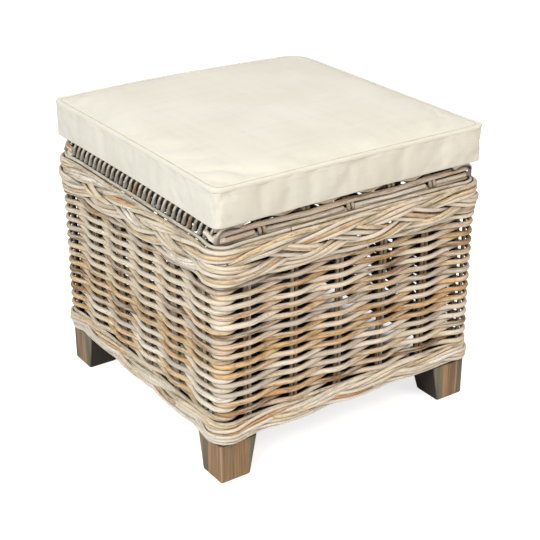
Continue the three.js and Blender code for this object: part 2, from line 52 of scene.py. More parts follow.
# Puts whole arrays of points, face sizes and face corners into a mesh, in metres.
def newObject(name, points, sizes, loops, material, smooth=True):
    mesh = bpy.data.meshes.new(name)
    mesh.vertices.add(len(points))
    mesh.vertices.foreach_set("co", (points * metre).astype(np.float32).ravel())
    mesh.loops.add(len(loops))
    mesh.loops.foreach_set("vertex_index", loops.astype(np.int32))
    mesh.polygons.add(len(sizes))
    starts = np.concatenate([[0], np.cumsum(sizes)[:-1]])
    mesh.polygons.foreach_set("loop_start", starts.astype(np.int32))
    mesh.polygons.foreach_set("use_smooth", np.full(len(sizes), smooth))
    mesh.update(calc_edges=True)
    mesh.validate()
    mesh.materials.append(material)
    piece = bpy.data.objects.new(name, mesh)
    bpy.context.scene.collection.objects.link(piece)
    return piece


# One value for each point of a piece, for its material to read.
def setAttribute(piece, name, kind, values):
    layer = piece.data.attributes.new(name, kind, "POINT")
    field = {"FLOAT_VECTOR": "vector", "FLOAT_COLOR": "color", "FLOAT": "value"}[kind]
    layer.data.foreach_set(field, values.astype(np.float32).ravel())


# Quads between neighbours of a grid of rows and columns; a closed way joins its last to its first.
def gridFaces(rows, columns, rowsClosed, columnsClosed):
    row = np.arange(rows if rowsClosed else rows - 1)
    column = np.arange(columns if columnsClosed else columns - 1)
    i, j = np.meshgrid(row, column, indexing="ij")
    nextRow, nextColumn = (i + 1) % rows, (j + 1) % columns
    quads = np.stack([i * columns + j, nextRow * columns + j,
                      nextRow * columns + nextColumn, i * columns + nextColumn], axis=-1)
    return quads.reshape(-1, 4)


# A smooth random function of a distance: a sum of sines with random waves and starts.
def ringNoise(length, count, seedGain=1.0):
    waves = rng.uniform(0.4, 1.0, count) * 2 * math.pi / length
    starts = rng.uniform(0, 2 * math.pi, count)
    gains = rng.uniform(0.4, 1.0, count)
    gains *= seedGain / gains.sum()
    return lambda s: (gains * np.sin(np.multiply.outer(s, waves) + starts)).sum(axis=-1)


# A line of straight runs resampled in even steps and rounded by a moving bell-shaped mean.
def rounded(path, spread, step=1.0):
    lengths = np.concatenate([[0], np.cumsum(np.linalg.norm(np.diff(path, axis=0), axis=1))])
    even = np.arange(0, lengths[-1], step)
    line = np.stack([np.interp(even, lengths, path[:, axis]) for axis in range(3)], axis=1)
    half = int(3 * spread / step)
    bell = np.exp(-0.5 * (np.arange(-half, half + 1) * step / spread) ** 2)
    bell /= bell.sum()
    padded = np.concatenate([np.repeat(line[:1], half, axis=0), line, np.repeat(line[-1:], half, axis=0)])
    return np.stack([np.convolve(padded[:, axis], bell, "valid") for axis in range(3)], axis=1)


canes = {"knuckleEvery": (120, 260), "knuckleRise": 0.42, "knuckleWidth": 2.0, "ringWidth": 0.8,
         "knucklePlaces": (-3.6, -1.8, -0.8, 0, 0.8, 1.8, 3.6), "knuckleRoom": 4.2, "endRoom": 6,
         "unevenness": 0.05, "step": 4.0, "endRound": 0.6, "paintedShadeFrom": 0.45, "paintedShadeGain": 1.3}


# One open cane along a dense path. Its radius swells at each knuckle:
# r(s) = r (1 + unevenness * noise(s)) + rise * exp(-((s - knuckle) / width)^2).
# A cane may be given the way along which painted shade darkens it.
def cane(path, radius, tone, wash, sides=9, reference=up, step=None, paintedShade=None, thicker=None):
    lengths = np.concatenate([[0], np.cumsum(np.linalg.norm(np.diff(path, axis=0), axis=1))])
    total = lengths[-1]
    gaps = rng.uniform(*canes["knuckleEvery"], int(total / canes["knuckleEvery"][0]) + 2)
    knuckles = np.cumsum(gaps) - rng.uniform(0, gaps[0])
    knuckles = knuckles[(knuckles > canes["endRoom"]) & (knuckles < total - canes["endRoom"])]
    near = np.add.outer(knuckles, np.array(canes["knucklePlaces"])).ravel()
    even = np.linspace(0, total, max(3, int(total / (step or canes["step"])) + 1))
    away = np.abs(np.subtract.outer(even, knuckles)) if len(knuckles) else np.full((len(even), 1), np.inf)
    clear = away.min(axis=1) > canes["knuckleRoom"]
    clear[[0, -1]] = True
    s = np.sort(np.concatenate([even[clear], near[(near > 1) & (near < total - 1)]]))
    points = np.stack([np.interp(s, lengths, path[:, axis]) for axis in range(3)], axis=1)
    away = np.abs(np.subtract.outer(s, knuckles)) if len(knuckles) else np.full((len(s), 1), np.inf)
    swell = canes["knuckleRise"] * np.exp(-(away / canes["knuckleWidth"]) ** 2).max(axis=1)
    ring = np.exp(-(away / canes["ringWidth"]) ** 2).max(axis=1)
    radii = radius * (1 + canes["unevenness"] * ringNoise(160, 4)(s)) + swell
    if thicker:
        radii = radii * thicker(points)
    return {"points": points, "radii": radii, "ring": ring, "s": s + rng.uniform(0, 9000),
            "tone": tone, "wash": wash, "sides": sides, "reference": reference, "paintedShade": paintedShade}


# Rings across the path: centre + radius * (cos a * across + sin a * over), with a rounded first
# and last ring, each ring's place in a space where the cane lies straight, and each point's
# painted shade, which grows the more the point looks along the way given for the shade.
def caneRings(item):
    points, radii, s, ring = item["points"], item["radii"], item["s"], item["ring"]
    tangent = np.gradient(points, axis=0)
    tangent /= np.linalg.norm(tangent, axis=1, keepdims=True)
    across = np.cross(tangent, item["reference"])
    across /= np.linalg.norm(across, axis=1, keepdims=True)
    over = np.cross(across, tangent)
    bevel = canes["endRound"]
    points = np.concatenate([points[:1], points[:1] + tangent[:1] * bevel, points[1:-1],
                             points[-1:] - tangent[-1:] * bevel, points[-1:]])
    pick = np.concatenate([[0], np.arange(len(s)), [len(s) - 1]])
    radii = radii[pick].copy()
    radii[[0, -1]] -= bevel
    angle = np.linspace(0, 2 * math.pi, item["sides"], endpoint=False)
    cosine, sine = np.cos(angle)[None, :, None], np.sin(angle)[None, :, None]
    rings = points[:, None] + radii[:, None, None] * (
        cosine * across[pick][:, None] + sine * over[pick][:, None])
    straight = np.empty_like(rings)
    straight[..., 0] = s[pick][:, None]
    straight[..., 1] = radii[:, None] * np.cos(angle)[None]
    straight[..., 2] = radii[:, None] * np.sin(angle)[None]
    marks = np.ones(rings.shape[:2] + (4,))
    marks[..., 0] = item["tone"]
    marks[..., 1] = item["wash"]
    marks[..., 2] = ring[pick][:, None]
    # Painted shade for each point, larger the more the point looks along the given way.
    shadeShare = np.zeros(rings.shape[:2])
    if item["paintedShade"]:
        away = (rings - points[:, None]) / radii[:, None, None]
        share = (away * item["paintedShade"](points)[:, None]).sum(axis=2)
        shadeShare = np.clip(canes["paintedShadeFrom"] + canes["paintedShadeGain"] * share, 0, 1)
    return rings, straight, marks, shadeShare


# Many canes in one mesh, each closed by a flat end.
def canePiece(name, items, material, body, replaced=()):
    points, straights, marks, paintedShade, sizes, loops, base = [], [], [], [], [], [], 0
    for item in items:
        rings, straight, mark, shadeShare = caneRings(item)
        count, sides = rings.shape[:2]
        quads = gridFaces(count, sides, False, True) + base
        first = base + np.arange(sides)
        last = base + (count - 1) * sides + np.arange(sides)[::-1]
        points.append(rings.reshape(-1, 3))
        straights.append(straight.reshape(-1, 3))
        marks.append(mark.reshape(-1, 4))
        paintedShade.append(shadeShare.ravel())
        sizes += [np.full(len(quads), 4), [sides, sides]]
        loops += [quads.ravel(), first, last]
        base += count * sides
    piece = newObject(name, np.concatenate(points), np.concatenate(sizes),
                      np.concatenate(loops), material)
    setAttribute(piece, "straightCane", "FLOAT_VECTOR", np.concatenate(straights))
    setAttribute(piece, "caneMarks", "FLOAT_COLOR", np.concatenate(marks))
    # The painted shade goes to the material as an attribute.
    setAttribute(piece, "paintedShadeAmount", "FLOAT", np.concatenate(paintedShade))
    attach(piece, body)
    if replaced:
        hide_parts(*replaced)
    return piece


def newMaterial(name, roughness):
    material = bpy.data.materials.new(name)
    material.use_nodes = True
    shader = material.node_tree.nodes["Principled BSDF"]
    shader.inputs["Roughness"].default_value = roughness
    return material, material.node_tree, shader


# A colour as written on a screen, turned into linear light.
def colour(code):
    values = [int(code[k:k + 2], 16) / 255 for k in (0, 2, 4)]
    return [v / 12.92 if v <= 0.04045 else ((v + 0.055) / 1.055) ** 2.4 for v in values] + [1]


# A number or a colour's code is set on the socket itself, and another node's output is joined to it.
def feed(tree, value, socket):
    if isinstance(value, (int, float)):
        socket.default_value = value
    elif isinstance(value, str):
        socket.default_value = colour(value)
    else:
        tree.links.new(value, socket)


def objectPlace(tree):
    return tree.nodes.new("ShaderNodeTexCoord").outputs["Object"]


def attribute(tree, name, output):
    node = tree.nodes.new("ShaderNodeAttribute")
    node.attribute_name = name
    return node.outputs[output]


def ramp(tree, factor, stops, smooth=False):
    node = tree.nodes.new("ShaderNodeValToRGB")
    node.color_ramp.interpolation = "EASE" if smooth else "LINEAR"
    elements = node.color_ramp.elements
    for index, (place, value) in enumerate(stops):
        element = elements[index] if index < 2 else elements.new(place)
        element.position = place
        element.color = colour(value) if isinstance(value, str) else [value] * 3 + [1]
    tree.links.new(factor, node.inputs["Fac"])
    return node.outputs["Color"]


# Noise whose waves are shorter along an axis the more the place is stretched along it.
def noise(tree, vector, stretch, detail=3.0, roughness=0.55):
    mapping = tree.nodes.new("ShaderNodeMapping")
    mapping.inputs["Scale"].default_value = stretch
    tree.links.new(vector, mapping.inputs["Vector"])
    node = tree.nodes.new("ShaderNodeTexNoise")
    node.inputs["Scale"].default_value = 1.0
    node.inputs["Detail"].default_value = detail
    node.inputs["Roughness"].default_value = roughness
    tree.links.new(mapping.outputs["Vector"], node.inputs["Vector"])
    return node.outputs["Fac"]


def math2(tree, operation, first, second):
    node = tree.nodes.new("ShaderNodeMath")
    node.operation = operation
    for socket, value in zip(node.inputs, (first, second)):
        feed(tree, value, socket)
    return node.outputs["Value"]


def blendColour(tree, factor, first, second, mode="MIX"):
    node = tree.nodes.new("ShaderNodeMix")
    node.data_type = "RGBA"
    node.blend_type = mode
    for name, kind, value in (("Factor", "VALUE", factor), ("A", "RGBA", first), ("B", "RGBA", second)):
        feed(tree, value, next(s for s in node.inputs if s.name == name and s.type == kind))
    return next(s for s in node.outputs if s.type == "RGBA")


# The base multiplied, at a share, by the tones that the stops give to a pattern.
def shaded(tree, base, share, pattern, stops):
    return blendColour(tree, share, base, ramp(tree, pattern, stops), "MULTIPLY")


def bump(tree, shader, height, strength, distance):
    node = tree.nodes.new("ShaderNodeBump")
    node.inputs["Strength"].default_value = strength
    node.inputs["Distance"].default_value = distance
    tree.links.new(height, node.inputs["Height"])
    tree.links.new(node.outputs["Normal"], shader.inputs["Normal"])


# A plain finish: one noise that moves between two tones.
def twoTone(name, roughness, stretch, low, high, metallic=0.0, places=(0.3, 0.7)):
    material, tree, shader = newMaterial(name, roughness)
    grain = noise(tree, objectPlace(tree), stretch, 3.0, 0.6)
    tree.links.new(ramp(tree, grain, list(zip(places, (low, high)))), shader.inputs["Base Color"])
    shader.inputs["Metallic"].default_value = metallic
    return material


# Grey-washed rattan: a base tone for each cane, long streaks, patches of pale wash, a dark line
# at each knuckle, rare red-brown spots, and near-black painted shade on the sides of the canes that look
# inward and down.
def caneFinish(name, palette, washAmount):
    material, tree, shader = newMaterial(name, 0.62)
    straight = attribute(tree, "straightCane", "Vector")
    split = tree.nodes.new("ShaderNodeSeparateColor")
    tree.links.new(attribute(tree, "caneMarks", "Color"), split.inputs["Color"])
    tone, wash, ring = split.outputs[0], split.outputs[1], split.outputs[2]
    slow = noise(tree, straight, (0.012, 0.1, 0.1), 2.0)
    streaks = noise(tree, straight, (0.022, 0.42, 0.42), 5.0, 0.7)
    grain = noise(tree, straight, (0.12, 3.2, 3.2), 3.0, 0.6)
    fleck = noise(tree, straight, (0.07, 0.3, 0.3), 4.0, 0.75)
    patch = noise(tree, straight, (0.02, 0.24, 0.24), 4.0, 0.7)
    spot = noise(tree, straight, (0.05, 0.3, 0.3), 4.0, 0.7)
    drift = math2(tree, "MULTIPLY", math2(tree, "SUBTRACT", slow, 0.5), 0.75)
    base = ramp(tree, math2(tree, "ADD", tone, drift), palette)
    base = shaded(tree, base, 0.85, streaks, [(0.36, 0.42), (0.52, 1.0)])
    base = shaded(tree, base, 0.65, grain, [(0.36, 0.5), (0.52, 1.0)])
    base = shaded(tree, base, 0.72, fleck, [(0.4, 0.42), (0.5, 1.0)])
    washed = math2(tree, "ADD", patch, math2(tree, "MULTIPLY", wash, 0.3))
    washed = math2(tree, "MULTIPLY", ramp(tree, washed, [(0.57, 0.0), (0.7, 1.0)]), washAmount)
    base = blendColour(tree, washed, base, "d9d0c2")
    base = blendColour(tree, ramp(tree, spot, [(0.70, 0.0), (0.76, 0.8)]), base, "8a5230")
    base = blendColour(tree, math2(tree, "MULTIPLY", ring, 0.3), base, "6d5640")
    # Near-black painted shade, by the amount that each point carries.
    base = blendColour(tree, attribute(tree, "paintedShadeAmount", "Fac"), base, "15120e")
    tree.links.new(base, shader.inputs["Base Color"])
    tree.links.new(ramp(tree, streaks, [(0.3, 0.72), (0.7, 0.5)]), shader.inputs["Roughness"])
    bump(tree, shader, math2(tree, "ADD", streaks, math2(tree, "MULTIPLY", grain, 0.5)), 0.5, 0.0012)
    return material


tanPalette = [(0.0, "7d5c38"), (0.18, "bb9161"), (0.36, "e2ba84"), (0.5, "c4a67e"), (0.7, "e3c9a2"),
              (1.0, "f6e8d4")]
palePalette = [(0.0, "8e6f50"), (0.08, "d29c66"), (0.2, "d2af82"), (0.42, "e4cca4"), (0.6, "bfab90"),
               (0.8, "e6d6be"), (1.0, "f6ecde")]
stakePalette = [(0.0, "866746"), (0.5, "ab8a60"), (1.0, "c9ae86")]
polePalette = [(0.0, "221a13"), (0.5, "2c2219"), (1.0, "382b20")]
weaverFinish = caneFinish("greyWashedCane", tanPalette, 0.62)
bandFinish = caneFinish("paleCane", palePalette, 0.66)
stakeFinish = caneFinish("stakeCane", stakePalette, 0.5)
poleFinish = caneFinish("barePole", polePalette, 0.1)


# Weathered brown wood: upright grain from stretched noise, grey-green stain in upright stripes, a
# pale worn line along the outer arris and near-black painted shade on the inner faces. Both come
# from the nearness n = min(|x|, |y|) of a point to the outer corner: worn where n is largest, and
# painted shade where n + taper * height is smallest.
def woodFinish():
    material, tree, shader = newMaterial("weatheredWood", 0.6)
    where = objectPlace(tree)
    broad = noise(tree, where, (46, 46, 2), 1.0, 0.4)
    fine = noise(tree, where, (260, 260, 9), 4.0, 0.65)
    line = noise(tree, where, (700, 700, 14), 2.0, 0.6)
    base = ramp(tree, broad, [(0.38, "6f6752"), (0.45, "8a7559"), (0.48, "a57f57"), (0.58, "9c7855"),
                              (0.66, "836c4f")])
    base = shaded(tree, base, 0.65, fine, [(0.36, 0.38), (0.6, 1.0)])
    base = shaded(tree, base, 0.45, line, [(0.38, 0.4), (0.58, 1.0)])
    parts = tree.nodes.new("ShaderNodeSeparateXYZ")
    tree.links.new(where, parts.inputs["Vector"])
    near = math2(tree, "MINIMUM", *[math2(tree, "ABSOLUTE", parts.outputs[k], 0) for k in (0, 1)])
    worn = math2(tree, "MULTIPLY", math2(tree, "SUBTRACT", near, 0.2), 40)
    worn = ramp(tree, worn, [(0.87, 0.0), (0.93, 0.75)])
    worn = math2(tree, "MULTIPLY", worn, ramp(tree, fine, [(0.35, 0.3), (0.6, 1.0)]))
    base = blendColour(tree, worn, base, "b99b72")
    # Near-black painted shade on the inner faces
    inner = math2(tree, "ADD", near, math2(tree, "MULTIPLY", parts.outputs[2], 0.1935))
    inner = math2(tree, "MULTIPLY", math2(tree, "SUBTRACT", inner, 0.17), 50)
    base = blendColour(tree, ramp(tree, inner, [(0.26, 0.94), (0.32, 0.0)]), base, "15130f")
    tree.links.new(base, shader.inputs["Base Color"])
    tree.links.new(ramp(tree, fine, [(0.3, 0.75), (0.7, 0.5)]), shader.inputs["Roughness"])
    bump(tree, shader, fine, 0.4, 0.0005)
    return material


# Plain-weave cotton: fine crossed threads from two rows of waves, slubs and a faint mottle.
def clothFinish(name, threadScale):
    material, tree, shader = newMaterial(name, 0.92)
    place = tree.nodes.new("ShaderNodeUVMap")
    place.uv_map = "clothSpace"
    where = place.outputs["UV"]
    slubA = noise(tree, where, (3, 90, 1), 3.0, 0.6)
    slubB = noise(tree, where, (90, 3, 1), 3.0, 0.6)
    mottle = noise(tree, where, (9, 9, 1), 3.0, 0.5)
    threads = []
    for way in "XY":
        wave = tree.nodes.new("ShaderNodeTexWave")
        wave.bands_direction = way
        wave.inputs["Scale"].default_value = threadScale
        wave.inputs["Distortion"].default_value = 1.2
        wave.inputs["Detail"].default_value = 1.0
        tree.links.new(where, wave.inputs["Vector"])
        threads.append(wave.outputs["Fac"])
    weave = math2(tree, "MULTIPLY", *threads)
    slub = math2(tree, "ADD", slubA, slubB)
    base = ramp(tree, mottle, [(0.3, "cfc9ba"), (0.7, "d7d2c5")])
    base = shaded(tree, base, 0.35, slub, [(0.7, 0.86), (1.2, 1.0)])
    base = shaded(tree, base, 0.25, weave, [(0.0, 0.86), (0.5, 1.0)])
    tree.links.new(base, shader.inputs["Base Color"])
    shader.inputs["Sheen Weight"].default_value = 0.15
    shader.inputs["Sheen Roughness"].default_value = 0.6
    bump(tree, shader, math2(tree, "ADD", weave, slub), 0.25, 0.0003)
    return material


woodFinished = woodFinish()
darkPole = twoTone("darkPole", 0.75, (200, 200, 24), "1d1610", "2e241a")  # the dark frame inside
cottonFinish = clothFinish("creamCotton", 260)
print("stage: finishes")


wall = {"half": 216.8, "cornerRadius": 15.0, "cornerBulge": 4.5, "bulgeReach": 25.0, "bottom": 97.0,
        "rows": 28, "rowPitch": 7.46, "diameter": 7.8, "swing": 8.0, "peak": 0.13, "pairs": 22,
        "waviness": 0.8, "rowWobble": 0.6, "lean": 0.5, "lowered": 0.15, "spliceVisible": 0.5,
        "cutShort": (9, 15), "thickness": (0.93, 1.05), "splices": 3, "rowsPerPiece": 7, "sides": 10}


# Points along a rounded square, at shares of its length from the middle of the near left corner
# and anticlockwise from above: first the corner's arc, then the straight side, and so on, each
# quarter turned by a right angle. All is moved outward, and bulge * exp(-(d / reach)^2) more at a
# distance d from a corner.
def ringPlaces(share, outward, height):
    radius, half = wall["cornerRadius"], wall["half"]
    arc, side = radius * math.pi / 2, 2 * (half - radius)
    quarter = arc + side
    travelled = np.mod(np.mod(share, 1.0) * 4 * quarter + arc / 2, 4 * quarter)
    turn = np.floor(travelled / quarter)
    rest = travelled - turn * quarter
    angle = math.pi + np.minimum(rest / arc, 1.0) * math.pi / 2
    run = np.maximum(rest - arc, 0.0)
    centre = half - radius
    fromCorner = np.minimum(rest, quarter - rest + arc) - arc / 2
    outward = outward + wall["cornerBulge"] * np.exp(-(fromCorner / wall["bulgeReach"]) ** 2)
    x = -centre + run + (radius + outward) * np.cos(angle)
    y = -centre + (radius + outward) * np.sin(angle)
    cosine, sine = np.cos(turn * math.pi / 2), np.sin(turn * math.pi / 2)
    height = np.broadcast_to(height, x.shape)
    return np.stack([x * cosine - y * sine, x * sine + y * cosine, height], axis=-1)


# The way to the inside of the wall at each point: across the nearer side, or to a corner's centre.
def inwards(points):
    past = np.abs(points[:, :2]) - (wall["half"] - wall["cornerRadius"])
    nearest = past == past.max(axis=1, keepdims=True)
    way = np.where((past > 0).all(axis=1, keepdims=True), past, nearest) * np.sign(points[:, :2])
    way = way / np.linalg.norm(way, axis=1, keepdims=True)
    return np.column_stack([-way, np.zeros(len(points))])


# The same, tipped down, so that the painted shade also darkens canes underneath.
def inAndDown(points):
    return 0.9 * inwards(points) - 0.36 * up


# Straight down: the way of the painted shade under the seat's canes.
def downwards(points):
    return np.tile(-up, (len(points), 1))


# A cane's base tone: mostly tan, some grey and pale, some brown.
def caneTone(middle=0.45, spread=0.28):
    return float(np.clip(rng.normal(middle, spread), 0.02, 0.98))


ringLength = 4 * (2 * (wall["half"] - wall["cornerRadius"]) + wall["cornerRadius"] * math.pi / 2)
levelDrift = ringNoise(420, 5, wall["waviness"])
weavers, denseStep = [], 1.5
for row in range(wall["rows"]):
    middle = wall["bottom"] + wall["rowPitch"] / 2 - wall["lowered"] + row * wall["rowPitch"]
    wobble = ringNoise(90, 6, wall["rowWobble"])
    lean = ringNoise(120, 5, wall["lean"])
    inside = [pair for pair in range(wall["pairs"]) if (pair + row) % 2 == 0]
    splices = np.sort(rng.choice(inside, wall["splices"], replace=False))
    for start, end in zip(splices, np.append(splices[1:], splices[0] + wall["pairs"])):
        cut = rng.uniform(*wall["cutShort"]) if rng.random() < wall["spliceVisible"] else 1.0
        first = (start + 0.5) / wall["pairs"] + 1.0 / ringLength
        last = (end + 0.5) / wall["pairs"] - cut / ringLength
        share = np.linspace(first, last, int((last - first) * ringLength / denseStep))
        phase = math.pi * (share * wall["pairs"] - 0.5 + row)
        swing = -wall["swing"] * (np.cos(phase) + wall["peak"] * np.cos(3 * phase)) / (1 + wall["peak"])
        travelled = share * ringLength
        height = middle + wobble(travelled) + levelDrift(travelled) * (row / wall["rows"])
        # Each weaver is darkened by painted shade inward and underneath.
        weavers.append(cane(ringPlaces(share, swing + lean(travelled), height),
                            wall["diameter"] / 2 * rng.uniform(*wall["thickness"]), caneTone(0.42),
                            rng.uniform(0, 1), wall["sides"], paintedShade=inAndDown))
for start in range(0, wall["rows"], wall["rowsPerPiece"]):
    end = start + wall["rowsPerPiece"]
    rowNodes = [f"weaver_row_{row + 1:02d}" for row in range(start, end)]
    canePiece(f"weaverRows{start + 1:02d}to{end:02d}", weavers[start * wall["splices"]:end * wall["splices"]],
              weaverFinish, "stool", rowNodes)
print("stage: weavers")

frameNodes = ["stake_frame_front_right", "stake_frame_back_left"]
stakes = {"diameter": 6.1, "gap": 1.1, "bottom": 66.0, "top": 357.0, "lean": 0.5, "sway": 0.4, "sides": 8,
          "step": 6.0, "cornerPlace": 207.0, "cornerDiameter": 9.6, "cornerStep": 8.0}
heights = np.linspace(stakes["bottom"], stakes["top"], 90)
levelWay = np.array([0.3, 1.0, 0.0])  # any level way does, since the stakes are upright
stakeItems = []
# Each stake is darkened by painted shade on its inner side.
for pair in range(wall["pairs"]):
    for side in (-1, 1):
        offset = side * (stakes["diameter"] + stakes["gap"]) / 2
        drift = ringNoise(200, 3, stakes["lean"])
        share = ((pair + 0.5) / wall["pairs"] * ringLength + offset + drift(heights)) / ringLength
        path = ringPlaces(share, ringNoise(220, 3, stakes["sway"])(heights), heights)
        stakeItems.append(cane(path, stakes["diameter"] / 2, caneTone(0.55, 0.2), rng.uniform(0, 1),
                               stakes["sides"], levelWay, stakes["step"], inwards))
# One thicker stake stands close inside each corner; its darker tone is painted shade for the corner's inside
for x, y in ((-1, -1), (1, -1), (1, 1), (-1, 1)):
    level = np.ones_like(heights) * stakes["cornerPlace"]
    stakeItems.append(cane(np.column_stack([x * level, y * level, heights]), stakes["cornerDiameter"] / 2,
                           caneTone(0.2, 0.1), 0.0, stakes["sides"], levelWay, stakes["cornerStep"], inwards))
canePiece("uprightStakes", stakeItems, stakeFinish, "stool", frameNodes)

# The foot rail: an oblong with cut corners, carried round the wall
footRail = {"inner": -12.0, "outer": -3.4, "bottom": 62.5, "top": 84.3, "round": 2.0, "places": 480}
share = np.linspace(0, 1, footRail["places"], endpoint=False)
inner, outer, low, high, cut = [footRail[key] for key in ("inner", "outer", "bottom", "top", "round")]
profile = [(inner + cut, low), (outer - cut, low), (outer, low + cut), (outer, high - cut),
           (outer - cut, high), (inner + cut, high), (inner, high - cut), (inner, low + cut)]
railRings = np.stack([ringPlaces(share, outward, height) for outward, height in profile], axis=1)
faces = gridFaces(len(share), len(profile), True, True)
railPiece = newObject("footRail", railRings.reshape(-1, 3), np.full(len(faces), 4), faces.ravel(),
                      darkPole, False)
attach(railPiece, "stool")
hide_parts(*frameNodes)
print("stage: stakes")

topBand = {"nodes": "top_plait_strand", "bottom": 305.8, "height": 53.5, "strands": 4, "periods": 4,
           "canes": 3, "diameter": 6.1, "pitch": 6.2, "middle": 10.4, "swing": 4.3, "lean": 0.7, "tilt": 3.6,
           "fold": 2.2, "phaseSpread": 0.14, "stray": 1.7, "proud": 0.9, "joinPhase": 0.0,
           "straight": ((356.4, 9.4), (350.6, 7.6), (308.8, 5.6), (359.6, 3.2))}
footBand = {"nodes": "foot_band_strand", "bottom": 64.5, "height": 32.8, "strands": 3, "periods": 5,
            "canes": 3, "diameter": 5.8, "pitch": 5.4, "middle": 9.2, "swing": 3.6, "lean": 0.0, "tilt": 2.2,
            "fold": 0.0, "phaseSpread": 0.12, "stray": 0.9, "proud": 0.6, "joinPhase": 0.75,
            "straight": ((95.4, 6.6), (89.8, 5.6), (68.8, 6.4))}
bands = {"sides": 10, "step": 3.4, "joints": 2, "joinStray": 0.03, "joinGap": 0.6, "thickness": (0.86, 1.06),
         "straightStray": 0.9, "straightShare": 0.95, "straightStep": 5.0, "straightReach": 0.499}


# How the top plait's strands go over and under at a phase p, by depth, tilt and fold:
# lean cos p - swing cos 3p, tilt sin 4p and -fold cos 3p. They rise outside, fall outside halfway
# up and rise outside again.
def fourStrand(band, phase):
    over = np.cos(3 * phase)
    return (band["lean"] * np.cos(phase) - band["swing"] * over, band["tilt"] * np.sin(4 * phase),
            -band["fold"] * over)


# The same for the foot band: swing sin 2p and tilt cos 3p, so that rising strands show above
# falling ones.
def threeStrand(band, phase):
    return band["swing"] * np.sin(2 * phase), band["tilt"] * np.cos(3 * phase), np.zeros_like(phase)


# Every cane of a plait: the middle of its strand at height sway sin p, its own place in the bundle,
# and joints where the strand lies underneath. Straight canes fill the scallops along its edges.
def plait(band, bends):
    spread = (band["canes"] - 1) * band["pitch"]
    sway = (band["height"] - spread - band["diameter"]) / 2
    middle = band["bottom"] + band["height"] / 2
    items = []
    for strand in range(band["strands"]):
        start = strand / band["strands"]
        for index in range(band["canes"]):
            offset = index * band["pitch"] - spread / 2
            place = 2 * offset / (spread + band["diameter"])
            lag = rng.uniform(-1, 1) * band["phaseSpread"]
            stray, proud = ringNoise(130, 6, band["stray"]), ringNoise(110, 5, band["proud"])
            joints = np.sort(rng.choice(band["periods"], bands["joints"], replace=False)) + band["joinPhase"]
            joints = (joints - start + rng.uniform(-1, 1) * bands["joinStray"]) / band["periods"]
            for first, last in zip(joints, np.append(joints[1:], joints[0] + 1)):
                count = int((last - first) * ringLength / denseStep)
                share = np.linspace(first, last - bands["joinGap"] / ringLength, count)
                phase = 2 * math.pi * (band["periods"] * share + start) + lag
                depth, tilt, fold = bends(band, phase)
                travelled = share * ringLength
                outward = band["middle"] + depth + tilt * place - fold * place * place + proud(travelled)
                height = middle + sway * np.sin(phase) + offset + stray(travelled)
                radius = band["diameter"] / 2 * rng.uniform(*bands["thickness"])
                # Painted shade darkens each plait cane inward and underneath.
                items.append(cane(ringPlaces(share, outward, height), radius, caneTone(0.5),
                                  rng.uniform(0, 1), bands["sides"], step=bands["step"], paintedShade=inAndDown))
    for level, outward in band["straight"]:
        stray, start = ringNoise(150, 5, bands["straightStray"]), rng.uniform(0, 1)
        for first in (start, start + 0.5):
            count = int(bands["straightReach"] * ringLength / denseStep)
            share = np.linspace(first, first + bands["straightReach"], count)
            path = ringPlaces(share, outward, level + stray(share * ringLength))
            items.append(cane(path, band["diameter"] / 2 * bands["straightShare"], caneTone(0.62, 0.06),
                              rng.uniform(0, 0.6), bands["sides"], step=bands["straightStep"],
                              paintedShade=inAndDown))
    return items


for band, bends, name in ((topBand, fourStrand, "topPlait"), (footBand, threeStrand, "footPlait")):
    canePiece(name, plait(band, bends), bandFinish, "stool",
              [f"{band['nodes']}_{k + 1}" for k in range(band["strands"])])
print("stage: plaits")


seat = {"edgeBottom": 359.7, "top": 389.9, "diameter": 7.8, "passes": 29, "passPitch": 13.5, "stakes": 5,
        "stakePitch": 73.7, "railX": 205.06, "railRadius": 8.6, "railGap": 0.4, "railLevel": 372.99,
        "stakeLevel": 377.15, "swing": 8.2, "fold": 209.2, "round": 2.6, "slant": 2.6, "thin": 0.37,
        "flare": 0.12, "flareReach": 7.0, "endHooks": 2, "hookReach": 22.0, "hookDrop": 8.0,
        "thickness": (0.9, 1.05), "step": 4.0, "sides": 10}
stakeX = (np.arange(seat["stakes"]) - (seat["stakes"] - 1) / 2) * seat["stakePitch"]
caneRadius = seat["diameter"] / 2
wrap = seat["railRadius"] + seat["railGap"] + caneRadius
facet = wrap * math.tan(math.pi / 8)
turnLevel = seat["edgeBottom"] + caneRadius


# The seat's cane is thin where it comes over a side rail and looks thicker towards the foot of
# the wrap, where it turns to the next: 1 - thin + (thin + flare) * exp(-((z - foot) / reach)^2).
def footFlare(points):
    outside = np.clip((np.abs(points[:, 0]) - seat["railX"]) / seat["railRadius"], 0, 1)
    nearFoot = np.exp(-((points[:, 2] - turnLevel) / seat["flareReach"]) ** 2)
    return 1 + outside * (-seat["thin"] + (seat["thin"] + seat["flare"]) * nearFoot)


# A wrap over a side rail from its foot outside to the top of the rail, leaning along the edge.
def railWrap(y):
    x, level = seat["railX"], seat["railLevel"]
    return [(-x - wrap, y + seat["slant"], turnLevel), (-x - wrap, y - seat["slant"] * 0.4, level + facet),
            (-x - facet, y - seat["slant"], level + wrap), (-x + facet, y, level + wrap)]


# A cane of the seat along a run, thin over the rails and darkened underneath by painted shade.
def seatCane(run):
    radius = caneRadius * rng.uniform(*seat["thickness"])
    return cane(rounded(np.array(run), seat["round"]), radius, caneTone(0.6), rng.uniform(0.3, 1),
                seat["sides"], np.array([0.0, 1.0, 0.0]), seat["step"], downwards, footFlare)


seatItems = []
for index in range(seat["passes"]):
    y = (index - (seat["passes"] - 1) / 2) * seat["passPitch"]
    woven = [(x, y, seat["stakeLevel"] + (seat["swing"] if (k + index) % 2 == 0 else -seat["swing"]))
             for k, x in enumerate(stakeX)]
    otherWrap = [(-x, place, z) for x, place, z in reversed(railWrap(y))]
    seatItems.append(seatCane(railWrap(y) + woven + otherWrap))
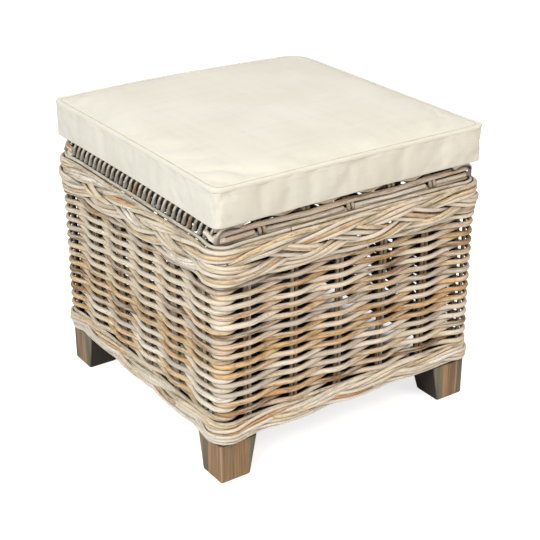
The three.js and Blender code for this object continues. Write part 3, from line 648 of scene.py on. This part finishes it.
# Short canes hook over the side rails beyond the last pass, up to the corners
lastPass = (seat["passes"] - 1) / 2 * seat["passPitch"]
for side in (-1, 1):
    for number in range(1, seat["endHooks"] + 1):
        for end in (-1, 1):
            y = end * (lastPass + number * seat["passPitch"])
            hook = railWrap(y) + [(-seat["railX"] + seat["hookReach"], y, seat["top"] - seat["hookDrop"])]
            seatItems.append(seatCane([(side * -x, place, z) for x, place, z in hook]))
canePiece("seatWeaver", seatItems, bandFinish, "stool", ["seat_weaver"])

# Seat stakes: doubles that fold down at each end, in turn outside the edge's low cane and behind
# its two lower canes
edge = {"low": 365.0, "middle": 374.4, "top": 384.2, "lowDiameter": 7.4, "cutShort": 9.0, "wave": 3.2,
        "end": 219.0, "round": 4.0, "stakeRound": 1.6, "thickness": (0.95, 1.08)}
offset = (stakes["diameter"] + stakes["gap"]) / 2
fold = seat["fold"]
seatStakeItems = []
for k, x in enumerate(stakeX):
    for side in (-1, 1):
        if k % 2 == 0:
            half = [(fold + 5.0, seat["edgeBottom"] + 1.5), (fold + 5.0, edge["low"] + 2.5),
                    (fold - 1.0, edge["middle"] - 1.0)]
        else:
            half = [(fold - 3.0, seat["edgeBottom"] + 1.5), (fold - 3.0, edge["middle"] + 1.0),
                    (fold + 3.0, edge["middle"] + 5.0), (fold - 9.0, edge["top"] - 2.5)]
        half.append((fold - 18.0, seat["stakeLevel"]))
        middle = x + side * offset
        run = np.array([(middle, -y, z) for y, z in half] + [(middle, y, z) for y, z in half[::-1]])
        # Painted shade darkens each seat stake underneath.
        seatStakeItems.append(cane(rounded(run, edge["stakeRound"]), stakes["diameter"] / 2,
                                   caneTone(0.5, 0.2), 0.5, stakes["sides"], np.array([1.0, 0.02, 0.0]),
                                   seat["step"], downwards))
canePiece("seatStakes", seatStakeItems, stakeFinish, "stool",
          [f"seat_stake_{k + 1}" for k in range(seat["stakes"])])


# The canes woven along a seat edge, as places along it, outward from the fold of the seat stakes
# and up. The low canes are cut off short of the doubles that fold over them; the middle cane runs
# over all, and the top cane waves under the cushion.
def edgeCanes():
    pitch, end = seat["stakePitch"], edge["end"]
    low, middle, top = edge["low"], edge["middle"], edge["top"]
    runs = []
    for k in (0, 2, 4):
        start = stakeX[k] + 1
        stop = stakeX[k + 2] - edge["cutShort"] if k < 4 else end - 6
        over = [(stakeX[k + 1], 4.6, low)] if k < 4 else [(start + 0.6 * pitch, 3.0, low + 1)]
        turned = [] if k < 4 else [(end + 2, -4.0, low + 0.4), (end + 2, -20.0, low - 1)]
        runs.append([(start, 0.0, low - 0.6)] + over + [(stop, 2.5, low + 0.4)] + turned)
    rising = [(stakeX[0] - edge["cutShort"], 1.5, low + 0.6), (-end + 12, 3.5, low), (-end - 2, 3.0, low + 2),
              (-end - 2, 2.0, middle - 3), (-end + 12, 2.0, middle)]
    for k, x in enumerate(stakeX):
        rising.append((x, 2.6, middle + 1.2) if k % 2 == 0 else (x, 4.4, middle - 0.8))
    runs.append(rising + [(end - 4, 3.0, middle + 2), (end + 2, -3.0, middle + 2),
                          (end + 2, -22.0, middle - 2)])
    waved = [(-end, -2.0, top - 3)]
    for x in stakeX:
        waved += [(x - pitch / 2, 1.0, top - edge["wave"]), (x, -4.0, top + edge["wave"])]
    runs.append(waved + [(end, -2.0, top)])
    runs.append([(-end + 6, -11.0, top + 2.0), (end - 6, -11.0, top + 2.0)])
    runs.append([(-end, 0.0, low - 4.6), (0.0, 1.2, low - 3.8), (end, 0.0, low - 4.6)])
    runs.append([(-end + 16, 2.5, low + 3), (-end + 3, 4.5, low + 1), (-end - 3, 1.5, low + 4),
                 (-end - 3, -8.0, middle), (-end - 2, -20.0, middle)])
    return runs


for name, turn in (("front", 1), ("back", -1)):
    items = []
    for number, run in enumerate(edgeCanes()):
        path = np.array([(turn * x, turn * (-fold - outward), z) for x, outward, z in run])
        diameter = edge["lowDiameter"] if number < 3 else seat["diameter"]
        radius = diameter / 2 * rng.uniform(*edge["thickness"])
        # Painted shade darkens each edge cane inward and underneath.
        items.append(cane(rounded(path, edge["round"]), radius, caneTone(0.45), rng.uniform(0.2, 0.9),
                          seat["sides"], np.array([0.0, 0.01, 1.0]), seat["step"], inAndDown))
    canePiece(f"{name}EdgeCanes", items, bandFinish, "stool", [f"seat_edge_weaver_{name}"])

rails = {"end": {"half": 207.9, "out": 186.16, "level": 354.07, "radius": 9.5, "tone": 0.5},
         "side": {"half": 209.0, "out": seat["railX"], "level": seat["railLevel"],
                  "radius": seat["railRadius"] - 0.5, "tone": 0.4}}
railPlaces = 60
for kind, name, sign in (("end", "front", -1), ("end", "back", 1),
                         ("side", "left", -1), ("side", "right", 1)):
    rail = rails[kind]
    along = np.linspace(-rail["half"], rail["half"], railPlaces)
    out = np.full(railPlaces, sign * rail["out"])
    x, y = (along, out) if kind == "end" else (out, along)
    path = np.column_stack([x, y, np.full(railPlaces, rail["level"])])
    canePiece(f"{name}Rail", [cane(path, rail["radius"], rail["tone"], 0, 20, up, 12)], poleFinish, "stool",
              [f"{kind}_rail_{name}"])
print("stage: seat")


leg = {"outer": 224.0, "foot": 49.0, "top": 61.0, "height": 62.0, "edge": 1.6, "innerEdge": 3.0,
       "footRound": 3.6, "footLevels": 7, "levels": 26, "arcPoints": 5}


# A square from low to high whose corners are arcs of their own radii.
def legOutline(low, high, edges):
    turns = np.linspace(0, math.pi / 2, leg["arcPoints"])
    points = []
    places = ((low, low, 2), (high, low, 3), (high, high, 0), (low, high, 1))
    for (x, y, quarters), radius in zip(places, edges):
        angle = quarters * math.pi / 2 + turns
        centreX = x + radius if x == low else x - radius
        centreY = y + radius if y == low else y - radius
        points.append(np.stack([centreX + radius * np.cos(angle), centreY + radius * np.sin(angle)], axis=1))
    return np.concatenate(points)


# One leg as outlines from the floor up: at a height z its inner faces stand at
# outer - foot - lean * z, and near the floor all its faces draw in along a quarter circle.
def legRings():
    lean = (leg["top"] - leg["foot"]) / leg["height"]
    low = np.linspace(0, 1, leg["footLevels"])
    levels = list(zip(leg["footRound"] * low, leg["footRound"] * (1 - np.sqrt(1 - (1 - low) ** 2))))
    levels += [(z, 0.0) for z in np.linspace(leg["footRound"], leg["height"], leg["levels"])[1:]]
    edges = [leg["innerEdge"], leg["innerEdge"], leg["edge"], leg["innerEdge"]]
    outlines = []
    for z, inset in levels:
        inner = leg["outer"] - leg["foot"] - lean * z
        outline = legOutline(inner + inset, leg["outer"] - inset, edges)
        outlines.append(np.column_stack([outline, np.full(len(outline), z)]))
    return np.array(outlines)


rings = legRings()
count, around = rings.shape[:2]
quads = gridFaces(count, around, False, True)[:, ::-1]
ends = [np.arange(around)[::-1], (count - 1) * around + np.arange(around)]
for turn, name in enumerate(corners):
    cosine, sine = math.cos((turn + 2) * math.pi / 2), math.sin((turn + 2) * math.pi / 2)
    x, y = rings[..., 0], rings[..., 1]
    turned = np.stack([x * cosine - y * sine, x * sine + y * cosine, rings[..., 2]], axis=-1)
    piece = newObject(f"leg{name.title().replace('_', '')}", turned.reshape(-1, 3),
                      np.concatenate([np.full(len(quads), 4), [around, around]]),
                      np.concatenate([quads.ravel()] + ends), woodFinished)
    finish = piece.modifiers.new("evenShading", "WEIGHTED_NORMAL")
    finish.keep_sharp = True
    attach(piece, "stool")
    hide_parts(f"leg_{name}")
    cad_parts[f"corner_post_{name}"].material_slots[0].material = darkPole
print("stage: legs")


cushion = {"half": 229.5, "bottom": 390.4, "seam": 444.4, "drawIn": 3.6, "cornerRadius": 14.0, "cells": 90,
           "finerEdge": 0.6, "gentleEdge": 20.0, "grooveInset": 6.4, "groove": 1.3, "grooveWidth": 1.9,
           "earRise": 2.6, "backRadius": 36.0, "backDrop": 1.5, "backBow": 5.6, "rightBow": 1.6,
           "bowLean": 0.5, "slack": -0.012, "pressure": 1.1, "frames": 20, "crown": 3.0,
           "capUp": 7.0, "capOut": 5.0, "zipHalf": 183.0, "zipBandHalf": 6.4, "zipBandEdge": 0.8,
           "zipFloor": 224.0}
zipLevel = (390.2 + 445.2) / 2  # halfway up the cover's boxing in the frame


# The cushion's outline for a point of a square's border, with rounded corners, of which the back
# right one is rounder, and sides that are drawn in along a parabola.
def cushionRing(u, v):
    half = cushion["half"]
    radius = np.where((u > 0) & (v > 0), cushion["backRadius"], cushion["cornerRadius"])
    x, y = u * half, v * half
    centre = half - radius
    reachX, reachY = np.abs(x) - centre, np.abs(y) - centre
    inCorner = (reachX > 0) & (reachY > 0)
    angle = np.where(reachX >= reachY, reachY, 2 * radius - reachX) / radius * math.pi / 4
    x = np.where(inCorner, np.sign(x) * (centre + radius * np.cos(angle)), x)
    y = np.where(inCorner, np.sign(y) * (centre + radius * np.sin(angle)), y)
    x = x - np.sign(x) * cushion["drawIn"] * (1 - v ** 2) * (np.abs(u) > 0.999)
    y = y - np.sign(y) * cushion["drawIn"] * (1 - u ** 2) * (np.abs(v) > 0.999)
    return x, y


# A square grid, finer towards its border, whose concentric squares turn there into the outline.
def cushionPanel():
    even = np.linspace(-1, 1, cushion["cells"] + 1)
    axis = (1 - cushion["finerEdge"]) * even + cushion["finerEdge"] * np.sin(even * math.pi / 2)
    u, v = np.meshgrid(axis, axis, indexing="xy")
    reach = np.maximum(np.abs(u), np.abs(v))
    safe = np.where(reach == 0, 1, reach)
    ringX, ringY = cushionRing(u / safe, v / safe)
    share = reach ** 10
    x = (1 - share) * u * cushion["half"] + share * reach * ringX
    y = (1 - share) * v * cushion["half"] + share * reach * ringY
    return x, y, reach


# The border of a square grid of point numbers, as one closed line anticlockwise from above.
def gridBorder(grid):
    return np.concatenate([grid[0, :-1], grid[:-1, -1], grid[-1, :0:-1], grid[:0:-1, 0]])


# How far the top stands over the seam at u = x / half, v = y / half: a crown c (1 - reach^4), ears
# e |uv|^12 at all corners but the back right one, which drops by d (uv)^4, and the back and right
# sides bowed up by b near^3 (1 - along^2) (1 - lean * along).
def topRise(u, v, reach):
    rise = cushion["crown"] * (1 - reach ** 4)
    rise += cushion["earRise"] * np.abs(u * v) ** 12 * ((u < 0) | (v < 0))
    rise -= cushion["backDrop"] * np.maximum(u * v, 0) ** 4 * (u > 0)
    for bow, near, along in ((cushion["backBow"], v, u), (cushion["rightBow"], u, v)):
        hump = np.maximum(1 - along ** 2, 0) * (1 - cushion["bowLean"] * along)
        rise += bow * np.maximum(near, 0) ** 3 * hump
    return rise


# Top and bottom panels joined by the rows of the boxing; also the cloth's own flat places.
def cushionMesh():
    x, y, reach = cushionPanel()
    n, seam, bottom = cushion["cells"], cushion["seam"], cushion["bottom"]
    grid = np.arange((n + 1) ** 2).reshape(n + 1, n + 1)
    border = gridBorder(grid)
    rise = topRise(x / cushion["half"], y / cushion["half"], reach)
    top = np.column_stack([x.ravel(), y.ravel(), (seam + rise).ravel()])
    low = np.column_stack([x.ravel(), y.ravel(), np.full(x.size, bottom)])
    band = cushion["zipBandHalf"]
    beside = band + cushion["zipBandEdge"]
    levels = np.concatenate([np.linspace(seam, zipLevel + beside, 6)[1:], [zipLevel + band],
                             np.linspace(zipLevel + band, zipLevel - band, 4)[1:-1], [zipLevel - band],
                             np.linspace(zipLevel - beside, bottom, 6)[:-1]])
    rim = top[border]
    rows = []
    for z in levels:
        ring = rim.copy()
        ring[:, 2] = z + (rim[:, 2] - seam) * (z - bottom) / (seam - bottom)
        rows.append(ring)
    points = np.concatenate([top] + rows + [low])
    count, start = len(border), len(top)
    lowStart = start + len(levels) * count
    sideIds = [start + k * count + np.arange(count) for k in range(len(levels))]
    ringIds = [border] + sideIds + [lowStart + border]
    cells = np.stack([grid[:-1, :-1], grid[:-1, 1:], grid[1:, 1:], grid[1:, :-1]], axis=-1).reshape(-1, 4)
    faces = [cells, cells[:, ::-1] + lowStart]
    for upper, lower in zip(ringIds[:-1], ringIds[1:]):
        faces.append(np.stack([upper, lower, np.roll(lower, -1), np.roll(upper, -1)], axis=-1))
    return points, np.concatenate(faces), border, ringIds


points, faces, border, ringIds = cushionMesh()
cushionPiece = newObject("boxCushion", points, np.full(len(faces), 4), faces.ravel(), cottonFinish)
held = np.zeros(len(points))
held[ringIds[0]] = 1.0
held[ringIds[-1][0] - border[0]:] = 1.0


# Cloth with air in it: the seam and the underside are held, and the panels between swell and
# crease a little because the cloth is cut slightly large. Each point's move is then capped.
def puff(piece, held):
    group = piece.vertex_groups.new(name="held")
    ids = np.nonzero(held > 0.5)[0]
    group.add([int(k) for k in ids], 1.0, "REPLACE")
    before = np.empty(len(piece.data.vertices) * 3, np.float32)
    piece.data.vertices.foreach_get("co", before)
    modifier = piece.modifiers.new("cloth", "CLOTH")
    cloth = modifier.settings
    cloth.quality = 5
    cloth.mass = 0.3
    cloth.tension_stiffness = 25
    cloth.compression_stiffness = 25
    cloth.shear_stiffness = 8
    cloth.bending_stiffness = 0.8
    cloth.shrink_min = cushion["slack"]
    cloth.use_pressure = True
    cloth.uniform_pressure_force = cushion["pressure"]
    cloth.vertex_group_mass = "held"
    cloth.pin_stiffness = 40
    cloth.effector_weights.gravity = 0
    modifier.collision_settings.use_collision = False
    scene = bpy.context.scene
    for number in range(1, cushion["frames"] + 1):
        scene.frame_set(number)
    depsgraph = bpy.context.evaluated_depsgraph_get()
    after = np.empty_like(before)
    piece.evaluated_get(depsgraph).to_mesh().vertices.foreach_get("co", after)
    piece.modifiers.remove(modifier)
    scene.frame_set(1)
    before, after = before.reshape(-1, 3), after.reshape(-1, 3)
    move = after - before
    cap = np.array([cushion["capOut"], cushion["capOut"], cushion["capUp"]]) * metre
    move = np.tanh(move / cap) * cap
    move[held > 0.5] = 0
    print("cloth moved at most", np.abs(move).max(axis=0) / metre)
    return before + move


placed = points * metre
placed = puff(cushionPiece, held)
# The swelling of the top starts gently from the border, at a share 1 - exp(-(d / gentle)^2) of it,
# and a groove of depth groove * exp(-((d - inset) / width)^2) follows the inner side of the welt.
panel = (cushion["cells"] + 1) ** 2
inset = cushion["half"] * (1 - cushionPanel()[2].ravel())
swell = placed[:panel, 2] - points[:panel, 2] * metre
placed[:panel, 2] = points[:panel, 2] * metre + swell * (1 - np.exp(-(inset / cushion["gentleEdge"]) ** 2))
besideWelt = (inset - cushion["grooveInset"]) / cushion["grooveWidth"]
placed[:panel, 2] -= cushion["groove"] * np.exp(-besideWelt ** 2) * metre
onBand = (placed[:, 1] > 0.2) & (np.abs(placed[:, 0]) < cushion["zipHalf"] * metre) & (
    np.abs(points[:, 2] - zipLevel) < cushion["zipBandHalf"] - 0.1)
placed[onBand, 1] = cushion["zipFloor"] * metre
cushionPiece.data.vertices.foreach_set("co", placed.astype(np.float32).ravel())
cushionPiece.data.update()


# Gives each corner of a piece's faces its flat place in the cloth, worked out from its point.
def setClothSpace(piece, placeOf):
    corner = np.empty(len(piece.data.loops), np.int32)
    piece.data.loops.foreach_get("vertex_index", corner)
    layer = piece.data.uv_layers.new(name="clothSpace")
    layer.data.foreach_set("uv", (placeOf(corner) * metre).astype(np.float32).ravel())


# The panels lie as seen from above, and the boxing is a strip: distance along the rim, and height.
def cutCloth(corner):
    panels = len(faces) - (len(ringIds) - 1) * len(border)
    owner = np.repeat(np.arange(len(faces)), 4)
    boxing = owner >= panels
    step = (owner[boxing] - panels) % len(border)
    ahead = np.tile([0, 0, 1, 1], len(faces))[boxing]
    place = points[corner][:, :2].copy()
    place[boxing] = np.column_stack([around[step + ahead], points[corner][boxing, 2]])
    return place


rim = points[border]
around = np.append(0, np.cumsum(np.linalg.norm(np.roll(rim, -1, axis=0) - rim, axis=1)))
setClothSpace(cushionPiece, cutCloth)

finish = cushionPiece.modifiers.new("smooth", "SUBSURF")
finish.levels = finish.render_levels = 1
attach(cushionPiece, "cushion")
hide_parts("cushion_cover")
print("stage: cushion")


# The level way along a closed line at each of its points, from the point before to the one after.
def levelAlong(line):
    along = np.roll(line, -1, axis=0) - np.roll(line, 1, axis=0)
    along[:, 2] = 0
    return along / np.linalg.norm(along, axis=1, keepdims=True)


# A level way turned a quarter to the right: outward for a line that runs anticlockwise.
def turnedOut(along):
    return np.column_stack([along[:, 1], -along[:, 0], np.zeros(len(along))])


# A closed tube of oval rings: centre + wide cos a * outward + high sin a * up.
def ovalTube(name, centres, outward, wide, high, sides, material):
    angle = np.linspace(0, 2 * math.pi, sides, endpoint=False)[None, :, None]
    rings = centres[:, None] + wide * np.cos(angle) * outward[:, None] + high * np.sin(angle) * up
    quads = gridFaces(len(centres), sides, True, True)
    return newObject(name, rings.reshape(-1, 3), np.full(len(quads), 4), quads.ravel(), material)


welt = {"high": 4.1, "proud": 3.3, "inset": 2.2, "drop": 3.6, "sides": 14, "ripple": 0.35, "calmEnds": 60,
        "girthStep": 1.7, "stitchDrop": 10.2, "stitchLength": 2.6, "stitchWidth": 0.6, "stitchPitch": 4.4,
        "stitchThickness": 0.42, "stitchProud": 0.12}
tangent = levelAlong(rim)
outward = turnedOut(tangent)
alongRim = around[:-1]
calm = np.minimum(1, np.minimum(alongRim, alongRim[::-1]) / welt["calmEnds"])
ripple = ringNoise(70, 6, welt["ripple"])(alongRim) * calm
centreLine = rim - outward * welt["inset"] - up * welt["drop"] + up * ripple[:, None]
weltPiece = ovalTube("cushionWelt", centreLine, outward, welt["proud"], welt["high"], welt["sides"],
                     cottonFinish)
setClothSpace(weltPiece, lambda corner: np.column_stack([
    alongRim[corner // welt["sides"]], corner % welt["sides"] * welt["girthStep"]]))
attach(weltPiece, "cushion")
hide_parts("cushion_cover")

# A seam line at the bottom of the groove, a thin ring along a ring of the top's points: darker
# than the cloth, partly the seam's thread and partly painted shade of the crease
seamLine = {"ringsIn": 3, "rise": 0.15, "radius": 0.55, "sides": 6}
step = seamLine["ringsIn"]
inner = gridBorder(np.arange(panel).reshape(cushion["cells"] + 1, -1)[step:-step, step:-step])
seamMiddle = placed[inner] / metre + up * seamLine["rise"]
seamFinish = twoTone("seamShade", 0.95, (60, 60, 60), "8f8468", "b8ad92", places=(0.35, 0.65))
seamPiece = ovalTube("weltSeamLine", seamMiddle, turnedOut(levelAlong(seamMiddle)), seamLine["radius"],
                     seamLine["radius"], seamLine["sides"], seamFinish)
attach(seamPiece, "cushion")
print("stage: welt")


# Many small rounded bars in one mesh, each four rings of eight sides with its own place, ways and
# size as length, width and height; the end rings are smaller by the bevel.
def smallBlocks(name, centres, alongs, outs, size, material, bevel=0.3):
    count, sides = len(centres), 8
    each = 4 * sides
    length, width, height = np.broadcast_to(size, (count, 3)).T[:, :, None, None, None]
    stations = np.array([-0.5, -0.42, 0.42, 0.5])[None, :, None, None]
    shrink = np.array([bevel, 1, 1, bevel])[None, :, None, None]
    angle = np.linspace(0, 2 * math.pi, sides, endpoint=False)[None, None, :, None]
    along, out, side = [way[:, None, None] for way in (alongs, outs, np.cross(outs, alongs))]
    rings = (centres[:, None, None] + stations * length * along
             + shrink * np.cos(angle) * height / 2 * out + shrink * np.sin(angle) * width / 2 * side)
    starts = (np.arange(count) * each)[:, None]
    quads = (gridFaces(4, sides, False, True)[None] + starts[..., None]).reshape(-1, 4)[:, ::-1]
    ends = [(np.arange(sides)[::-1] + starts).ravel(), (np.arange(each - sides, each) + starts).ravel()]
    sizes = np.concatenate([np.full(len(quads), 4), np.full(2 * count, sides)])
    return newObject(name, rings.reshape(-1, 3), sizes, np.concatenate([quads.ravel()] + ends), material)


# Stitches at an even pitch under the welt, on the boxing's skin between two of its rows
perimeter = around[-1]
stitchCount = int(perimeter / welt["stitchPitch"])
travel = (np.arange(stitchCount) + 0.5) * perimeter / stitchCount
closed = np.append(np.arange(len(rim)), 0)
surface = placed / metre
ringTop, ringLow = surface[ringIds[2]], surface[ringIds[3]]
levelTop, levelLow = ringTop[:, 2].mean(), ringLow[:, 2].mean()
level = (levelTop - (cushion["seam"] - welt["stitchDrop"])) / (levelTop - levelLow)
proud = ((ringTop * (1 - level) + ringLow * level - rim) * outward).sum(axis=1)
stitchPlace = np.stack([np.interp(travel, around, rim[closed, axis]) for axis in range(3)], axis=1)
stitchAlong = np.stack([np.interp(travel, around, tangent[closed, axis]) for axis in range(3)], axis=1)
stitchAlong /= np.linalg.norm(stitchAlong, axis=1, keepdims=True)
stitchOut = turnedOut(stitchAlong)
stitchPlace += stitchOut * (np.interp(travel, around, proud[closed]) + welt["stitchProud"])[:, None]
stitchPiece = smallBlocks("weltStitches", stitchPlace - up * welt["stitchDrop"], stitchAlong, stitchOut,
                          (welt["stitchLength"], welt["stitchWidth"], welt["stitchThickness"]),
                          clothFinish("stitchThread", 500))
stitchPiece.data.uv_layers.new(name="clothSpace")
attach(stitchPiece, "cushion")

zipper = {"half": 181.0, "toothPitch": 2.2, "toothSize": (1.5, 2.6, 1.2), "stagger": 0.7, "floor": 224.2}
metalFinish = twoTone("zipMetal", 0.35, (900, 200, 900), "8b8a86", "b4b3ae", 1.0)
toothCount = int(2 * zipper["half"] / zipper["toothPitch"])
toothX = np.linspace(-zipper["half"], zipper["half"], toothCount)
sideways = zipper["stagger"] * np.where(np.arange(toothCount) % 2 == 0, 1, -1)
centres = np.column_stack([toothX, np.full(toothCount, zipper["floor"] + 0.5), zipLevel + sideways])
alongX, outY = np.array([1.0, 0.0, 0.0]), np.array([0.0, 1.0, 0.0])
teeth = smallBlocks("zipTeeth", centres, np.tile(alongX, (toothCount, 1)), np.tile(outY, (toothCount, 1)),
                    zipper["toothSize"], metalFinish)
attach(teeth, "cushion")

# A slider: a wedge of two plates with a bridge, and a pull tab that hangs from it
sliderLow, sliderHigh = (np.array(v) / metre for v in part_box("zip_slider"))
sliderX = (sliderLow[0] + sliderHigh[0]) / 2
centres = np.array([(sliderX, 1.7, 0.0), (sliderX - 0.5, 2.8, 0.0), (sliderX - 4.5, 3.1, -0.4)])
centres += [0, zipper["floor"], zipLevel]
sliderPiece = smallBlocks("zipSliderBody", centres, np.tile(alongX, (3, 1)), np.tile(outY, (3, 1)),
                          [(9.0, 7.4, 1.3), (4.6, 2.2, 1.6), (12.0, 3.6, 0.9)], metalFinish, 0.8)
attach(sliderPiece, "zip_slider")
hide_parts("zip_slider")

foamFinish = twoTone("openFoam", 1.0, (420, 420, 420), "d9cc92", "ece2b4")
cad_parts["cushion_foam"].material_slots[0].material = foamFinish
print("stage: zip")


floorFinish, tree, floorShader = newMaterial("paleFloor", 1.0)
floorShader.inputs["Specular IOR Level"].default_value = 0.0
# A painted shadow darkens the floor under the stool and takes away its white glow: crisp towards
# the front left, fading out to the back right, with share max over x and y of (low - p) / crisp and (p -
# high) / fade
shadow = {"low": (-0.118, -0.102), "high": (0.215, 0.27), "crisp": 0.035, "fade": 0.1, "white": 0.72,
          "dark": "302f2d", "pale": "f2f2f2", "reach": 9000, "level": -0.5}
place = tree.nodes.new("ShaderNodeSeparateXYZ")
tree.links.new(objectPlace(tree), place.inputs["Vector"])
shares = []
for k in (0, 1):
    before = math2(tree, "SUBTRACT", shadow["low"][k], place.outputs[k])
    beyond = math2(tree, "SUBTRACT", place.outputs[k], shadow["high"][k])
    shares.append(math2(tree, "MAXIMUM", math2(tree, "DIVIDE", before, shadow["crisp"]),
                        math2(tree, "DIVIDE", beyond, shadow["fade"])))
share = ramp(tree, math2(tree, "MAXIMUM", *shares), [(0.0, 0.0), (1.0, 1.0)], True)
tree.links.new(blendColour(tree, share, shadow["dark"], shadow["pale"]), floorShader.inputs["Base Color"])
rays = tree.nodes.new("ShaderNodeLightPath")
floorShader.inputs["Emission Color"].default_value = (1, 1, 1, 1)
glow = math2(tree, "MULTIPLY", rays.outputs["Is Camera Ray"], shadow["white"])
tree.links.new(math2(tree, "MULTIPLY", glow, share), floorShader.inputs["Emission Strength"])
reach = shadow["reach"]
square = ((-reach, -reach), (reach, -reach), (reach, reach), (-reach, reach))
floorPoints = np.array([(x, y, shadow["level"]) for x, y in square])
floor = newObject("paleFloor", floorPoints, np.array([4]), np.arange(4), floorFinish, False)

# The sky is white to the camera and in reflections, and dimmer as a light
world = bpy.data.worlds.new("softDaylight")
bpy.context.scene.world = world
world.use_nodes = True
tree = world.node_tree
sky = tree.nodes["Background"]
sky.inputs["Color"].default_value = (0.93, 0.96, 1.0, 1)
rays = tree.nodes.new("ShaderNodeLightPath")
seen = math2(tree, "MAXIMUM", rays.outputs["Is Camera Ray"], rays.outputs["Is Glossy Ray"])
tree.links.new(math2(tree, "ADD", seen, 0.28), sky.inputs["Strength"])

lamps = {"leftKey": ((-2.3, -1.2, 2.3), 1.5, 88, (0.95, 0.98, 0.98)),
         "frontFill": ((0.9, -2.7, 2.2), 1.5, 42, (1.0, 0.86, 0.73)),
         "topSoft": ((0.0, 0.1, 3.2), 2.2, 33, (0.99, 1.0, 0.98))}
for name, (place, size, power, tint) in lamps.items():
    lamp = bpy.data.lights.new(name, "AREA")
    lamp.size = size
    lamp.energy = power
    lamp.color = tint
    holder = bpy.data.objects.new(name, lamp)
    holder.location = place
    holder.rotation_euler = (Vector((0, 0, 0.22)) - Vector(place)).to_track_quat("-Z", "Y").to_euler()
    bpy.context.scene.collection.objects.link(holder)

view = {"azimuth": -34.477, "elevation": 25.227, "place": (-1.00856, -1.48677, 1.03277), "lens": 84.84}
azimuth, elevation = math.radians(view["azimuth"]), math.radians(view["elevation"])
level = math.cos(elevation)
away = Vector((math.sin(azimuth) * level, -math.cos(azimuth) * level, math.sin(elevation)))
cameraData = bpy.data.cameras.new("photoView")
cameraData.lens = view["lens"]
cameraData.sensor_width = 36
camera = bpy.data.objects.new("photoView", cameraData)
camera.location = view["place"]
camera.rotation_euler = (-away).to_track_quat("-Z", "Y").to_euler()
bpy.context.scene.collection.objects.link(camera)
bpy.context.scene.camera = camera
bpy.context.scene.view_settings.view_transform = "Standard"
print("stage: light and camera")
